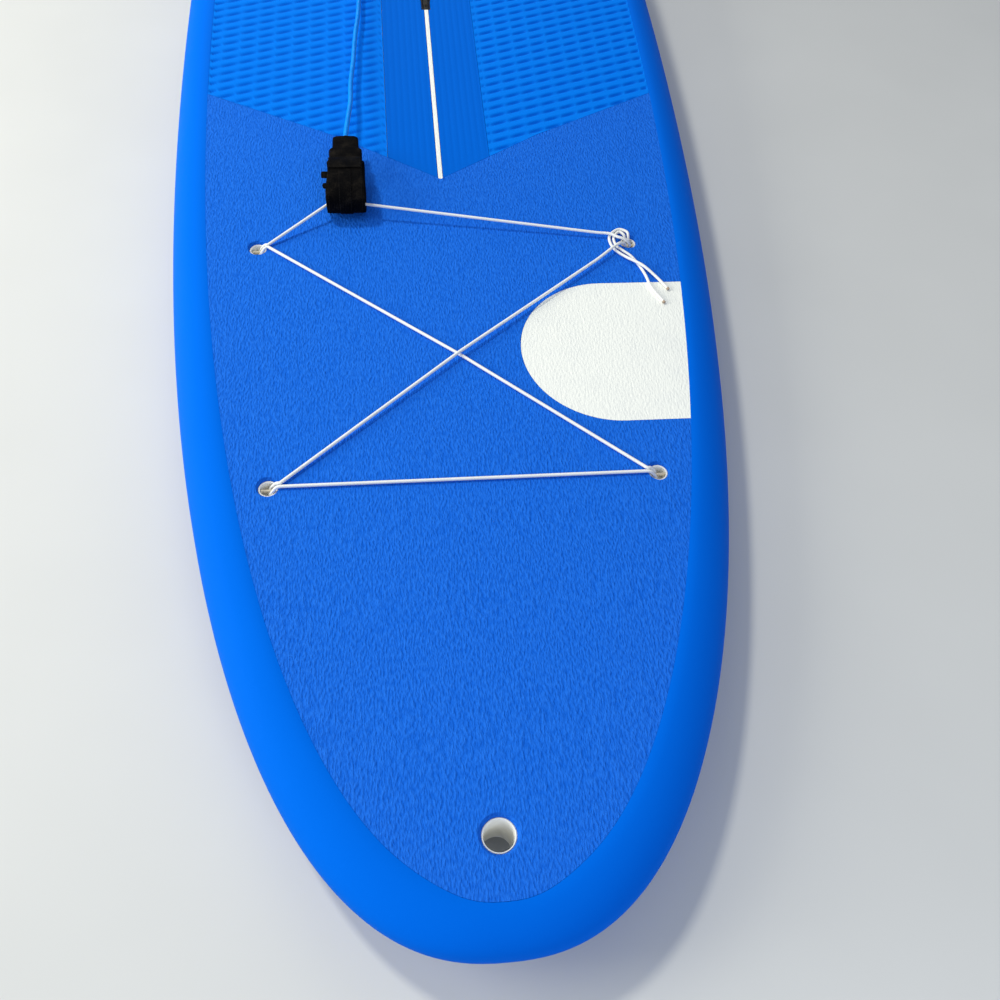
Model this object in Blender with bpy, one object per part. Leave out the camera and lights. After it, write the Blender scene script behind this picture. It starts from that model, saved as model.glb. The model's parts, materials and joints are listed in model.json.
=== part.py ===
"""A rigid soft-skinned stand-up paddle board with its bungee, leash, handle, vent and fin.

Metres, +Z up. Every piece is modelled in the board's own frame: X to starboard, Y from the nose tip
to the tail, Z up from the flat of the hull. The last step lays the board down on its hull and the
tip of its fin, as it rests on a floor.
"""

from math import atan, ceil, cos, pi, sin, sqrt, tan

import bmesh
import bpy
import numpy as np
from mathutils import Matrix, Vector

# Outline and rocker of the board
BOARD_LENGTH = 3.20
BOARD_WIDTH = 0.81
BOARD_THICKNESS = 0.115
WIDE_POINT = 1.60
NOSE_FULLNESS = 2.36
NOSE_SPREAD = 2.25
TAIL_FULLNESS = 2.1
TAIL_SPREAD = 2.4
DECK_FLAT_FRONT = 1.40
DECK_FLAT_REAR = 2.10
DECK_NOSE_RISE = 0.052
DECK_TAIL_RISE = 0.030
HULL_FLAT_FRONT = 1.30
HULL_FLAT_REAR = 2.05
HULL_NOSE_RISE = 0.115
HULL_TAIL_RISE = 0.055
RAIL_WIDTH = 0.055
EDGE_WIDTH = 0.045
RAIL_LEVEL = 0.45

# Layers
GAP = 0.0003
PAD = 0.005
SKIN = 0.0012
SLICK = 0.0015
WRAP = PAD + GAP + SKIN
SEAM = 0.0008
RAIL_SEAM = 0.0005
STRINGER = 0.004
NOSE_BLOCK = 0.20
OPEN_AIR = 0.02

# Deck pads, front edge of the traction pads as half widths and stations
STRIP_HALF = 0.075
PAD_FRONT = ((0.0, 1.032), (STRIP_HALF, 1.081), (0.1515, 1.1312), (0.3435, 1.233))
TAIL_PAD = 0.40
PANEL_CENTRE = (0.2003, 0.6963)
PANEL_RADIUS = 0.1175
STRIPE_FRONT = 1.0325
STRIPE_HALF = 0.00325
STRIPE_THICK = 0.0025

# Deck fittings
RIM_DEPTH = 0.0045
NOSE_TUBE_Y = 0.1036
TUBE_RADIUS = 0.0162
TUBE_WALL = 0.0012
TUBE_FOAM_RADIUS = 0.0190
TUBE_RECESS = 0.002
FRONT_CUPS_X = 0.554 * BOARD_WIDTH / 2
FRONT_CUPS_Y = 0.5031
REAR_CUPS_X = 0.6265 * BOARD_WIDTH / 2
REAR_CUPS_Y = 0.8953
TIE_CUPS = {
    "tie_cup_front_port": (-FRONT_CUPS_X, FRONT_CUPS_Y),
    "tie_cup_front_starboard": (FRONT_CUPS_X, FRONT_CUPS_Y),
    "tie_cup_rear_port": (-REAR_CUPS_X, REAR_CUPS_Y),
    "tie_cup_rear_starboard": (REAR_CUPS_X, REAR_CUPS_Y),
}
CUP_RADIUS = 0.011
CUP_WALL = 0.0018
CUP_FLOOR = 0.002
CUP_DEPTH = 0.018
CUP_FOAM_RADIUS = 0.0129
TIE_PIN_RADIUS = 0.00175
TIE_PIN_DEPTH = 0.0085
PIN_CLEARANCE = 0.0003
BUNGEE_RADIUS = 0.002

# Carry handle
HANDLE_FRONT = 1.4585
HANDLE_LENGTH = 0.200
HANDLE_STRAIGHT = 0.024
RECESS_END_HALF = 0.0067
RECESS_HALF = 0.0305
RECESS_DEPTH = 0.034
RECESS_WALL = 0.0018
RECESS_FOAM = 0.0018
RECESS_END_FOAM = 0.0005
BAR_END_HALF = 0.005
BAR_HALF = 0.013
BAR_THICK = 0.009
BAR_DEPTH = 0.0015
LEDGE = 0.030
HANDLE_SCREW_INSET = 0.013
HANDLE_SCREW_HEAD = 0.0035
HANDLE_SCREW_HEAD_THICK = 0.0025
HANDLE_SCREW_SHANK = 0.0017
HANDLE_SCREW_LENGTH = 0.020

# Air vent
VENT_PLACE = (0.035, 1.80)
VENT_RADIUS = 0.009
VENT_FLANGE = 0.012
VENT_FLANGE_THICK = 0.0022
VENT_DEPTH = 0.022
VENT_SCREW_HEAD = 0.0062
VENT_SCREW_HEAD_THICK = 0.0025
VENT_SCREW_SHANK = 0.003
VENT_SCREW_LENGTH = 0.012
VENT_RING_THICK = 0.0016
VENT_SEAT = 0.005
VENT_FOAM_RADIUS = 0.0135
KEY_WIDTH = 0.0014
KEY_DEPTH = 0.001

# Leash
LEASH_PLUG_X = -0.045
LEASH_PLUG_FROM_TAIL = 0.22
PLUG_RADIUS = 0.015
PLUG_WALL = 0.002
PLUG_DEPTH = 0.022
PLUG_RIM_DEPTH = 0.0015
PLUG_FOAM_RADIUS = 0.016
PLUG_PIN_RADIUS = 0.0025
PLUG_PIN_DEPTH = 0.008
STRING_RADIUS = 0.0015
SAVER_FROM_PLUG = 0.052
SAVER_LENGTH = 0.19
SAVER_WIDTH = 0.025
SAVER_THICK = 0.005
SAVER_EYE_RADIUS = 0.005
SAVER_EYE_BORE = 0.0022
NECK_LENGTH = 0.050
CUFF_NECK_WIDTHS = (0.0465, 0.037)
SAVER_NECK_WIDTHS = (0.034, 0.026)
NECK_TIP_LENGTH = 0.027
NECK_THICK = 0.0155
NECK_SHOULDER = 0.002
SAVER_NECK_LENGTH = 0.036
SAVER_LIFT = 0.0005
SWIVEL_RADIUS = 0.0055
SWIVEL_LENGTH = 0.022
SWIVEL_PIN_RADIUS = 0.0023
SWIVEL_HEAD_RADIUS = 0.0037
SWIVEL_HEAD = 0.0045
SWIVEL_MOUTH = 0.006
SWIVEL_CLEARANCE = 0.0004
SWIVEL_SOCKET = 0.008
SWIVEL_OUT = 0.0015
CORD_RADIUS = 0.0035

# Cuff, a flat oval closed round the bungee
CUFF_X = -0.134
CUFF_Y = 0.9882
CUFF_HALF_LENGTH = 0.0443
CUFF_HALF_HEIGHT = 0.025
CUFF_WIDTH = 0.0526
CUFF_SQUARENESS = 2.5
CUFF_BAND = 0.004
CUFF_STRAP = 0.002
CUFF_FOLD = 78
CUFF_STRAP_END = 300
CUFF_NECK_HEIGHT = 0.030
CUFF_HANG = 0.8
CUFF_TAB_FRONT = -0.009
CUFF_TAB_LENGTH = 0.013
CUFF_TAB_REACH = 0.005
CUFF_TAB_HEIGHT = 0.0445
CUFF_TAB_THICK = 0.0022

# Fin and fin box
BOX_FROM_TAIL = 0.3465
BOX_LENGTH = 0.267
BOX_WIDTH = 0.0254
BOX_HEIGHT = 0.030
SLOT_LENGTH = 0.250
SLOT_WIDTH = 0.0096
SLOT_DEPTH = 0.024
CHANNEL_WIDTH = 0.015
CHANNEL_FROM = 0.0095
CHANNEL_TO = 0.0148
NOTCH = 0.010
FIN_BASE = 0.165
FIN_EAR = 0.022
FIN_TAB_WIDTH = 0.009
FIN_TAB_HEIGHT = 0.020
FIN_DEPTH = 0.180
FIN_SWEEP = 0.072
FIN_TIP_CHORD = 0.040
FIN_TIP_THICK = 0.0035
FIN_LEAD_CURVE = 1.45
FIN_TRAIL_HOLLOW = 0.03
FIN_FOIL_CURVE = 1.4
EAR_FROM = 0.004
EAR_TO = 0.009
PLATE_THICK = 0.003
PLATE_LENGTH = 0.016
PLATE_WIDTH = 0.0144
FIN_PIN_RADIUS = 0.00225
FIN_PIN_INSET = 0.015
FIN_SCREW_HEAD = 0.004
FIN_SCREW_HEAD_THICK = 0.003
FIN_SCREW_SHANK = 0.002

# Facets
SIDE_STEPS = 32
TOP_STEPS = 3
BOTTOM_STEPS = 2
ROUND = 20
SMALL_ROUND = 12
FIN_RINGS = 7
FIN_SIDE_STEPS = 6
BUNGEE_STEP = 0.008
STRING_STEP = 0.006
LEASH_STEP = 0.024
SLOPE_REACH = 0.001

# Colours as they look on screen, 0 to 255
DARK_BLUE = (30, 98, 212)
AZURE = (6, 118, 238)
RAIL_BLUE = (7, 114, 232)
WHITE = (238, 241, 238)
BLACK = (22, 23, 25)
FOAM = (236, 236, 230)
WOOD = (178, 138, 92)
BRASS = (181, 152, 84)
STEEL = (170, 172, 176)
CLEAR_BLUE = (30, 130, 225)
BEIGE = (214, 202, 176)


# Shape of the board
def rise(start, end, height, y):
    """Height of a parabola that leaves the level at start and reaches height at end."""
    share = max(0.0, (y - start) / (end - start))
    return height * share ** 2


def deck_z(y):
    nose = rise(DECK_FLAT_FRONT, 0.0, DECK_NOSE_RISE, y)
    return BOARD_THICKNESS + nose + rise(DECK_FLAT_REAR, BOARD_LENGTH, DECK_TAIL_RISE, y)


def hull_z(y):
    nose = rise(HULL_FLAT_FRONT, 0.0, HULL_NOSE_RISE, y)
    return nose + rise(HULL_FLAT_REAR, BOARD_LENGTH, HULL_TAIL_RISE, y)


def outline_point(turn):
    """Point on the starboard outline, turn running from 0 at the nose tip to pi at the tail."""
    if turn <= pi / 2:
        y = WIDE_POINT * (1 - max(0.0, cos(turn)) ** (2 / NOSE_SPREAD))
        fullness = NOSE_FULLNESS
    else:
        y = WIDE_POINT + (BOARD_LENGTH - WIDE_POINT) * abs(cos(turn)) ** (2 / TAIL_SPREAD)
        fullness = TAIL_FULLNESS
    x = BOARD_WIDTH / 2 * max(0.0, sin(turn)) ** (2 / fullness)
    return Vector((x, y, 0.0))


def perimeter():
    """Points round the board from the nose tip by starboard, each with its outward direction."""
    side = [outline_point(pi * i / SIDE_STEPS) for i in range(SIDE_STEPS + 1)]
    side[0].x = 0.0
    side[-1].x = 0.0
    loop = side + [Vector((-p.x, p.y, 0.0)) for p in reversed(side[1:-1])]
    stations = []
    for i, point in enumerate(loop):
        course = loop[(i + 1) % len(loop)] - loop[i - 1]
        stations.append((point, Vector((course.y, -course.x, 0.0)).normalized()))
    return stations


def rail_section(point, outward, inset):
    """Points across the rail from the deck seam to the hull edge, inset below the surface."""
    hull = hull_z(point.y)
    waist = hull + RAIL_LEVEL * (deck_z(point.y) - hull)
    section = []
    for step in range(TOP_STEPS + 1):
        turn = pi / 2 * step / TOP_STEPS
        p = point - outward * (RAIL_WIDTH - (RAIL_WIDTH - inset) * sin(turn))
        p.z = waist + (deck_z(p.y) - inset - waist) * cos(turn)
        section.append(p)
    for step in range(1, BOTTOM_STEPS + 1):
        turn = pi / 2 * step / BOTTOM_STEPS
        p = point - outward * (inset + (EDGE_WIDTH - inset) * (1 - cos(turn)))
        p.z = waist - (waist - hull_z(p.y) - inset) * sin(turn)
        section.append(p)
    return section


# Mesh helpers
def colour(rgb):
    """Linear colour from a screen colour."""
    return [((c / 255 + 0.055) / 1.055) ** 2.4 if c > 10 else c / 3294.6 for c in rgb] + [1.0]


def finish(obj, rgb, roughness, metallic=0.0):
    material = bpy.data.materials.new(obj.name)
    material.use_nodes = True
    shader = material.node_tree.nodes["Principled BSDF"]
    shader.inputs["Base Color"].default_value = colour(rgb)
    shader.inputs["Roughness"].default_value = roughness
    shader.inputs["Metallic"].default_value = metallic
    obj.data.materials.clear()
    obj.data.materials.append(material)
    return obj


def link(name, data):
    obj = bpy.data.objects.new(name, data)
    bpy.context.scene.collection.objects.link(obj)
    return obj


def from_bmesh(name, bm):
    bmesh.ops.triangulate(bm, faces=[f for f in bm.faces if len(f.verts) == 4], quad_method="FIXED")
    bmesh.ops.recalc_face_normals(bm, faces=bm.faces)
    mesh = bpy.data.meshes.new(name)
    bm.to_mesh(mesh)
    bm.free()
    return link(name, mesh)


def piece(obj, matrix=Matrix.Identity(4)):
    """Hang an object on the board, standing at a place in the board's frame."""
    obj.parent = board
    obj.matrix_local = matrix
    return obj


def shade(obj, angle=0.6):
    obj.data.shade_smooth()
    obj.data.set_sharp_from_angle(angle=angle)
    return obj


def carve(obj, tools, operation="DIFFERENCE"):
    """Cut an object with others and keep the result as its mesh."""
    for tool in tools:
        cut = obj.modifiers.new(tool.name, "BOOLEAN")
        cut.operation = operation
        cut.object = tool
    bpy.context.view_layer.update()
    evaluated = obj.evaluated_get(bpy.context.evaluated_depsgraph_get())
    mesh = bpy.data.meshes.new_from_object(evaluated)
    obj.modifiers.clear()
    obj.data = mesh
    return obj


def discard(*tools):
    for tool in tools:
        bpy.data.objects.remove(tool)


def bridge(bm, loops):
    """Bands of quads between closed loops of the same count."""
    for low, high in zip(loops, loops[1:]):
        for i in range(len(low)):
            j = (i + 1) % len(low)
            bm.faces.new((low[i], low[j], high[j], high[i]))


def loft(name, rings):
    """Solid through closed rings of the same count, capped at both ends."""
    bm = bmesh.new()
    loops = [[bm.verts.new(p) for p in ring] for ring in rings]
    bridge(bm, loops)
    bm.faces.new(loops[0])
    bm.faces.new(loops[-1])
    return from_bmesh(name, bm)


def prism(name, outline, low, high):
    return loft(name, [[(x, y, z) for x, y in outline] for z in (low, high)])


def side_prism(name, outline, width):
    """Solid from an outline in Y and Z, pulled out across X."""
    return loft(name, [[(x, y, z) for y, z in outline] for x in (-width / 2, width / 2)])


def block(name, low, high):
    corners = [(low[0], low[1]), (high[0], low[1]), (high[0], high[1]), (low[0], high[1])]
    return prism(name, corners, low[2], high[2])


def turned(name, profile, sides=ROUND):
    """Solid turned about Z from a profile of radii and heights that starts and ends on the axis."""
    bm = bmesh.new()
    chain = [bm.verts.new((r, 0.0, z)) for r, z in profile]
    edges = [bm.edges.new(pair) for pair in zip(chain, chain[1:])]
    spin_axis = {"axis": (0, 0, 1), "cent": (0, 0, 0)}
    bmesh.ops.spin(bm, geom=chain + edges, angle=2 * pi, steps=sides, use_merge=True, **spin_axis)
    bmesh.ops.remove_doubles(bm, verts=bm.verts, dist=1e-7)
    return from_bmesh(name, bm)


def rod(name, radius, low, high, sides=ROUND):
    return turned(name, [(0.0, high), (radius, high), (radius, low), (0.0, low)], sides)


def across(matrix=Matrix.Identity(4)):
    """Frame whose Z runs across the board."""
    return matrix @ Matrix.Rotation(pi / 2, 4, "Y")


def along(matrix=Matrix.Identity(4)):
    """Frame whose Z runs towards the tail."""
    return matrix @ Matrix.Rotation(-pi / 2, 4, "X")


def strip(bm, loop):
    """Skin a loop that mirrors about the centre line with strips across it."""
    count = len(loop)
    for i in range(count // 2):
        corners = (loop[i], loop[i + 1], loop[(count - i - 1) % count], loop[(count - i) % count])
        bm.faces.new(list(dict.fromkeys(corners)))


def sheet(name, inset, upper, lower):
    """Closed sheet inside the outline, between two heights given along the board."""
    bm = bmesh.new()
    loops = []
    for height in (lower, upper):
        points = [point - outward * inset for point, outward in perimeter()]
        loops.append([bm.verts.new((p.x, p.y, height(p.y))) for p in points])
    bridge(bm, loops)
    for loop in loops:
        strip(bm, loop)
    return from_bmesh(name, bm)


def deck_layer(name, top, bottom):
    """Sheet below the deck between two depths, as wide as the seam of the rail wrap."""
    inset = RAIL_WIDTH + RAIL_SEAM
    return sheet(name, inset, lambda y: deck_z(y) - top, lambda y: deck_z(y) - bottom)


def deck_seat(x, y):
    """Frame that lies on the deck, Z square to it."""
    slope = (deck_z(y + SLOPE_REACH) - deck_z(y - SLOPE_REACH)) / (2 * SLOPE_REACH)
    return Matrix.Translation((x, y, deck_z(y))) @ Matrix.Rotation(atan(slope), 4, "X")


# Cord helpers
def smooth_path(route, step, long_run=0.05, closed=False):
    """Points on a centripetal curve through the route, about step apart, long runs left straight."""
    if closed:
        ends = [route[-1], *route, *route[:2]]
    else:
        ends = [2 * route[0] - route[1], *route, 2 * route[-1] - route[-2]]
    path = []
    for quad in zip(ends, ends[1:], ends[2:], ends[3:]):
        length = (quad[2] - quad[1]).length
        count = 1 if length > long_run else ceil(length / step)
        knots = [0.0]
        for p, q in zip(quad, quad[1:]):
            knots.append(knots[-1] + sqrt((q - p).length))
        for i in range(count):
            path.append(curve_point(quad, knots, knots[1] + (knots[2] - knots[1]) * i / count))
    return path if closed else path + [route[-1]]


def curve_point(points, knots, t):
    """Point at t on the curve through four points, drawn together in three rounds."""
    for spans in (((0, 1), (1, 2), (2, 3)), ((0, 2), (1, 3)), ((1, 2),)):
        shares = [(t - knots[a]) / (knots[b] - knots[a]) for a, b in spans]
        points = [p.lerp(q, share) for p, q, share in zip(points, points[1:], shares)]
    return points[0]


def cord(name, path, radius, closed=False):
    """Tube along points, with filled ends unless it closes on itself."""
    curve = bpy.data.curves.new(name, "CURVE")
    curve.dimensions = "3D"
    curve.bevel_depth = radius
    curve.bevel_resolution = 2
    curve.use_fill_caps = not closed
    spline = curve.splines.new("POLY")
    spline.points.add(len(path) - 1)
    for point, p in zip(spline.points, path):
        point.co = (*p, 1.0)
    spline.use_cyclic_u = closed
    return link(name, curve)


def least_gap(path, diameter):
    """Least clear distance between stretches of a cord more than four diameters apart along it."""
    fine = [p.lerp(q, i / 8) for p, q in zip(path, path[1:]) for i in range(8)]
    points = np.array([tuple(p) for p in fine])
    steps = np.linalg.norm(np.diff(points, axis=0), axis=1)
    travel = np.concatenate(([0.0], np.cumsum(steps)))
    least = 1.0
    for i, point in enumerate(points):
        apart = travel - travel[i] > 4 * diameter
        if apart.any():
            least = min(least, np.linalg.norm(points[apart] - point, axis=1).min())
    return least - diameter


# Core, skins and rail
def core_section(point, outward):
    section = rail_section(point, outward, WRAP + GAP)[:-1]
    inner = point - outward * (EDGE_WIDTH + GAP)
    for height in (WRAP + GAP, SLICK + GAP):
        section.append(Vector((inner.x, inner.y, hull_z(inner.y) + height)))
    return section


def core_blank():
    bm = bmesh.new()
    sections = [core_section(point, outward) for point, outward in perimeter()]
    loops = [[bm.verts.new(s[k]) for s in sections] for k in range(len(sections[0]))]
    bridge(bm, loops)
    strip(bm, loops[0])
    strip(bm, loops[-1])
    return from_bmesh("core_blank", bm)


def slab_of(blank, name, planes):
    """Part of a solid behind each plane, given as a point and the direction to clear."""
    bm = bmesh.new()
    bm.from_mesh(blank.data)
    for place, direction in planes:
        geometry = bm.verts[:] + bm.edges[:] + bm.faces[:]
        cut = {"plane_co": place, "plane_no": direction, "clear_outer": True}
        bmesh.ops.bisect_plane(bm, geom=geometry, dist=1e-6, **cut)
        bmesh.ops.holes_fill(bm, edges=[e for e in bm.edges if e.is_boundary])
    return from_bmesh(name, bm)


def make_cores():
    blank = core_blank()
    half = STRINGER / 2
    aft = ((0, NOSE_BLOCK + GAP, 0), (0, -1, 0))
    cuts = {
        "nose_block": [((0, NOSE_BLOCK, 0), (0, 1, 0))],
        "eps_core_port": [aft, ((-half - GAP, 0, 0), (1, 0, 0))],
        "eps_core_starboard": [aft, ((half + GAP, 0, 0), (-1, 0, 0))],
        "stringer": [aft, ((half, 0, 0), (1, 0, 0)), ((-half, 0, 0), (-1, 0, 0))],
    }
    for name, planes in cuts.items():
        core = carve(slab_of(blank, name, planes), pockets)
        rgb = WOOD if name == "stringer" else FOAM
        shade(piece(finish(core, rgb, 0.8)))
    discard(blank)


def make_rail_wrap():
    bm = bmesh.new()
    skins = []
    for inset in (0.0, WRAP):
        sections = [rail_section(point, outward, inset) for point, outward in perimeter()]
        loops = [[bm.verts.new(s[k]) for s in sections] for k in range(len(sections[0]))]
        bridge(bm, loops)
        skins.append(loops)
    for outer, inner in ((skins[0][0], skins[1][0]), (skins[0][-1], skins[1][-1])):
        bridge(bm, [outer, inner])
    shade(piece(finish(from_bmesh("rail_wrap", bm), RAIL_BLUE, 0.55)))


def make_skins():
    deck = deck_layer("deck_skin", PAD + GAP, WRAP)
    shade(piece(finish(carve(deck, pockets), FOAM, 0.5)))
    bottom = sheet("bottom_skin", EDGE_WIDTH + GAP, lambda y: hull_z(y) + SLICK, hull_z)
    shade(piece(finish(carve(bottom, pockets), WHITE, 0.3)))


# Deck pads
def pad_front(shift):
    """Front edge of the traction pads from port to starboard, out past the rails."""
    (x0, y0), (x1, y1) = PAD_FRONT[-2:]
    far_y = y1 + (y1 - y0) / (x1 - x0) * (BOARD_WIDTH - x1)
    side = [(x, y + shift) for x, y in (*PAD_FRONT, (BOARD_WIDTH, far_y))]
    return [(-x, y) for x, y in side[:0:-1]] + side


def pad(name, outline, rgb, tools):
    low = -BOARD_THICKNESS
    high = 3 * BOARD_THICKNESS
    region = prism("region", outline, low, high)
    solid = carve(deck_layer(name, 0.0, PAD), [region], "INTERSECT")
    discard(region)
    return shade(piece(finish(carve(solid, tools), rgb, 0.65)))


def panel_outline(grow):
    x, y = PANEL_CENTRE
    radius = PANEL_RADIUS + grow
    turns = [pi * (i / 12 - 0.5) for i in range(13)]
    arc = [(x - radius * cos(turn), y + radius * sin(turn)) for turn in turns]
    return [(BOARD_WIDTH, y - radius), *arc, (BOARD_WIDTH, y + radius)]


def make_pads():
    half_seam = SEAM / 2
    rear = BOARD_LENGTH - TAIL_PAD - half_seam
    groove = deck_layer("groove", -OPEN_AIR, STRIPE_THICK + GAP)
    reach = STRIPE_HALF + GAP
    lane = block("lane", (-reach, STRIPE_FRONT - GAP, -1.0), (reach, BOARD_LENGTH, 1.0))
    carve(groove, [lane], "INTERSECT")

    nose = [(BOARD_WIDTH, -BOARD_WIDTH), (-BOARD_WIDTH, -BOARD_WIDTH), *pad_front(-half_seam)]
    panel_hole = prism("panel_hole", panel_outline(SEAM), -BOARD_THICKNESS, 3 * BOARD_THICKNESS)
    pad("nose_pad", nose, DARK_BLUE, [panel_hole, groove, *pockets])
    discard(panel_hole)
    pad("panel_inlay", panel_outline(0.0), WHITE, [])

    starboard = [(x, y) for x, y in pad_front(half_seam) if x >= STRIP_HALF]
    starboard[0] = (STRIP_HALF + half_seam, starboard[0][1])
    outline = [*starboard, (BOARD_WIDTH, rear), (STRIP_HALF + half_seam, rear)]
    pad("traction_pad_starboard", outline, AZURE, pockets)
    pad("traction_pad_port", [(-x, y) for x, y in outline], AZURE, pockets)

    edge = STRIP_HALF - half_seam
    tip = PAD_FRONT[0][1] + half_seam
    corner = PAD_FRONT[1][1] + half_seam
    centre = [(0.0, tip), (edge, corner), (edge, rear), (-edge, rear), (-edge, corner)]
    pad("traction_pad_centre", centre, AZURE, [groove, *pockets])
    discard(groove, lane)
    start = rear + SEAM
    far = 2 * BOARD_LENGTH
    tail = [(-BOARD_WIDTH, start), (BOARD_WIDTH, start), (BOARD_WIDTH, far), (-BOARD_WIDTH, far)]
    pad("tail_pad", tail, AZURE, pockets)
    slot = RECESS_END_FOAM + GAP
    make_stripe("centre_stripe_front", STRIPE_FRONT, HANDLE_FRONT - slot)
    make_stripe("centre_stripe_rear", HANDLE_FRONT + HANDLE_LENGTH + slot, rear)


def make_stripe(name, front, rear):
    stripe = deck_layer(name, 0.0, STRIPE_THICK)
    lane = block("lane", (-STRIPE_HALF, front, -1.0), (STRIPE_HALF, rear, 1.0))
    carve(stripe, [lane], "INTERSECT")
    discard(lane)
    piece(finish(stripe, WHITE, 0.5))


# Round fittings in the deck
def round_pocket(name, x, y, radius, foam_radius, depth, flange=0.0):
    """Cutter that opens like a funnel through the pad and runs straight down below it."""
    fit = radius + GAP
    profile = [(0.0, OPEN_AIR), (foam_radius, OPEN_AIR), (foam_radius, 0.0)]
    if flange > radius:
        profile.append((flange + GAP, -PAD))
    profile += [(fit, -PAD), (fit, -depth - GAP), (0.0, -depth - GAP)]
    cutter = turned(name, profile)
    cutter.matrix_local = deck_seat(x, y)
    return cutter


def make_nose_tube():
    seat = deck_seat(0.0, NOSE_TUBE_Y)
    foot = hull_z(NOSE_TUBE_Y) + TUBE_RECESS - deck_z(NOSE_TUBE_Y)
    tube = rod("nose_tube", TUBE_RADIUS, foot, -RIM_DEPTH)
    bore = rod("bore", TUBE_RADIUS - TUBE_WALL, -1.0, 1.0)
    carve(tube, [bore])
    discard(bore)
    shade(piece(finish(tube, WHITE, 0.35), seat))


def make_pin_cup(radius, wall, floor, rim, depth, pin_radius, pin_depth):
    """Mesh of a cup with a cross hole for its pin, and the pin's mesh."""
    inner = radius - wall
    bottom = -rim - depth
    profile = [
        (0.0, bottom), (inner, bottom), (inner, -rim), (radius, -rim),
        (radius, bottom - floor), (0.0, bottom - floor),
    ]
    cup = turned("cup", profile)
    drill = rod("drill", pin_radius + PIN_CLEARANCE, -2 * radius, 2 * radius, SMALL_ROUND)
    drill.matrix_local = Matrix.Translation((0, 0, -pin_depth)) @ across()
    carve(cup, [drill])
    pin = rod("pin", pin_radius, GAP - radius, radius - GAP, SMALL_ROUND)
    meshes = (cup.data, pin.data)
    discard(cup, drill, pin)
    return meshes


def make_tie_cups():
    sizes = (CUP_RADIUS, CUP_WALL, CUP_FLOOR, RIM_DEPTH, CUP_DEPTH, TIE_PIN_RADIUS, TIE_PIN_DEPTH)
    cup_mesh, pin_mesh = make_pin_cup(*sizes)
    for name, (x, y) in TIE_CUPS.items():
        seat = deck_seat(x, y)
        shade(piece(finish(link(name, cup_mesh.copy()), WHITE, 0.35), seat))
        pin = link(name.replace("cup", "pin"), pin_mesh.copy())
        place = seat @ Matrix.Translation((0, 0, -TIE_PIN_DEPTH))
        shade(piece(finish(pin, BEIGE, 0.4), across(place)))


def make_leash_cup():
    levels = (CUP_FLOOR, PLUG_RIM_DEPTH, PLUG_DEPTH)
    cup_mesh, pin_mesh = make_pin_cup(PLUG_RADIUS, PLUG_WALL, *levels, PLUG_PIN_RADIUS, PLUG_PIN_DEPTH)
    seat = deck_seat(LEASH_PLUG_X, BOARD_LENGTH - LEASH_PLUG_FROM_TAIL)
    shade(piece(finish(link("leash_cup", cup_mesh), BLACK, 0.4), seat))
    place = seat @ Matrix.Translation((0, 0, -PLUG_PIN_DEPTH))
    shade(piece(finish(link("leash_pin", pin_mesh), STEEL, 0.3, 1.0), across(place)))


def cut_key(screw, radius, low, high):
    """Cut a driver's slot across a screw head of that radius, between two levels."""
    key = block("key", (-radius, -KEY_WIDTH / 2, low), (radius, KEY_WIDTH / 2, high))
    carve(screw, [key])
    discard(key)


def make_vent():
    seat = deck_seat(*VENT_PLACE)
    top = VENT_FLANGE_THICK - PAD
    bore = VENT_SCREW_SHANK + GAP
    pit = VENT_SCREW_HEAD + GAP
    floor = top - VENT_SEAT
    body = [
        (0.0, -VENT_DEPTH + CUP_FLOOR), (bore, -VENT_DEPTH + CUP_FLOOR), (bore, floor), (pit, floor),
        (pit, top), (VENT_FLANGE, top), (VENT_FLANGE, -PAD), (VENT_RADIUS, -PAD),
        (VENT_RADIUS, -VENT_DEPTH), (0.0, -VENT_DEPTH),
    ]
    shade(piece(finish(turned("vent_body", body), BLACK, 0.45), seat))
    ring_low = floor + GAP
    ring_high = ring_low + VENT_RING_THICK
    ring = rod("vent_ring", pit - GAP, ring_low, ring_high)
    hole = rod("hole", VENT_SCREW_SHANK + GAP, -1.0, 1.0)
    carve(ring, [hole])
    discard(hole)
    shade(piece(finish(ring, BLACK, 0.7), seat))
    head_low = ring_high + GAP
    head_high = head_low + VENT_SCREW_HEAD_THICK
    foot = head_low - VENT_SCREW_LENGTH
    screw = [
        (0.0, head_high), (VENT_SCREW_HEAD, head_high), (VENT_SCREW_HEAD, head_low),
        (VENT_SCREW_SHANK, head_low), (VENT_SCREW_SHANK, foot), (0.0, foot),
    ]
    vent_screw = turned("vent_screw", screw)
    cut_key(vent_screw, VENT_SCREW_HEAD, head_high - KEY_DEPTH, 1.0)
    shade(piece(finish(vent_screw, BRASS, 0.35, 1.0), seat))


# Carry handle
def handle_outline(end_half, middle_half, grow=0.0, stretch=0.0, trim=0.0, steps=12):
    """Plan of the handle: straight ends that swell towards the middle."""
    front = HANDLE_FRONT - stretch + trim
    rear = HANDLE_FRONT + HANDLE_LENGTH + stretch - trim
    swell_front = HANDLE_FRONT + HANDLE_STRAIGHT
    swell_length = HANDLE_LENGTH - 2 * HANDLE_STRAIGHT
    side = []
    for i in range(steps + 1):
        y = front + (rear - front) * i / steps
        share = min(1.0, max(0.0, (y - swell_front) / swell_length))
        side.append((end_half + (middle_half - end_half) * sin(pi * share) ** 2 + grow, y))
    return side + [(-x, y) for x, y in reversed(side)]


def handle_stack(name, levels):
    return loft(name, [[(x, y, z) for x, y in outline] for outline, z in levels])


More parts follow.
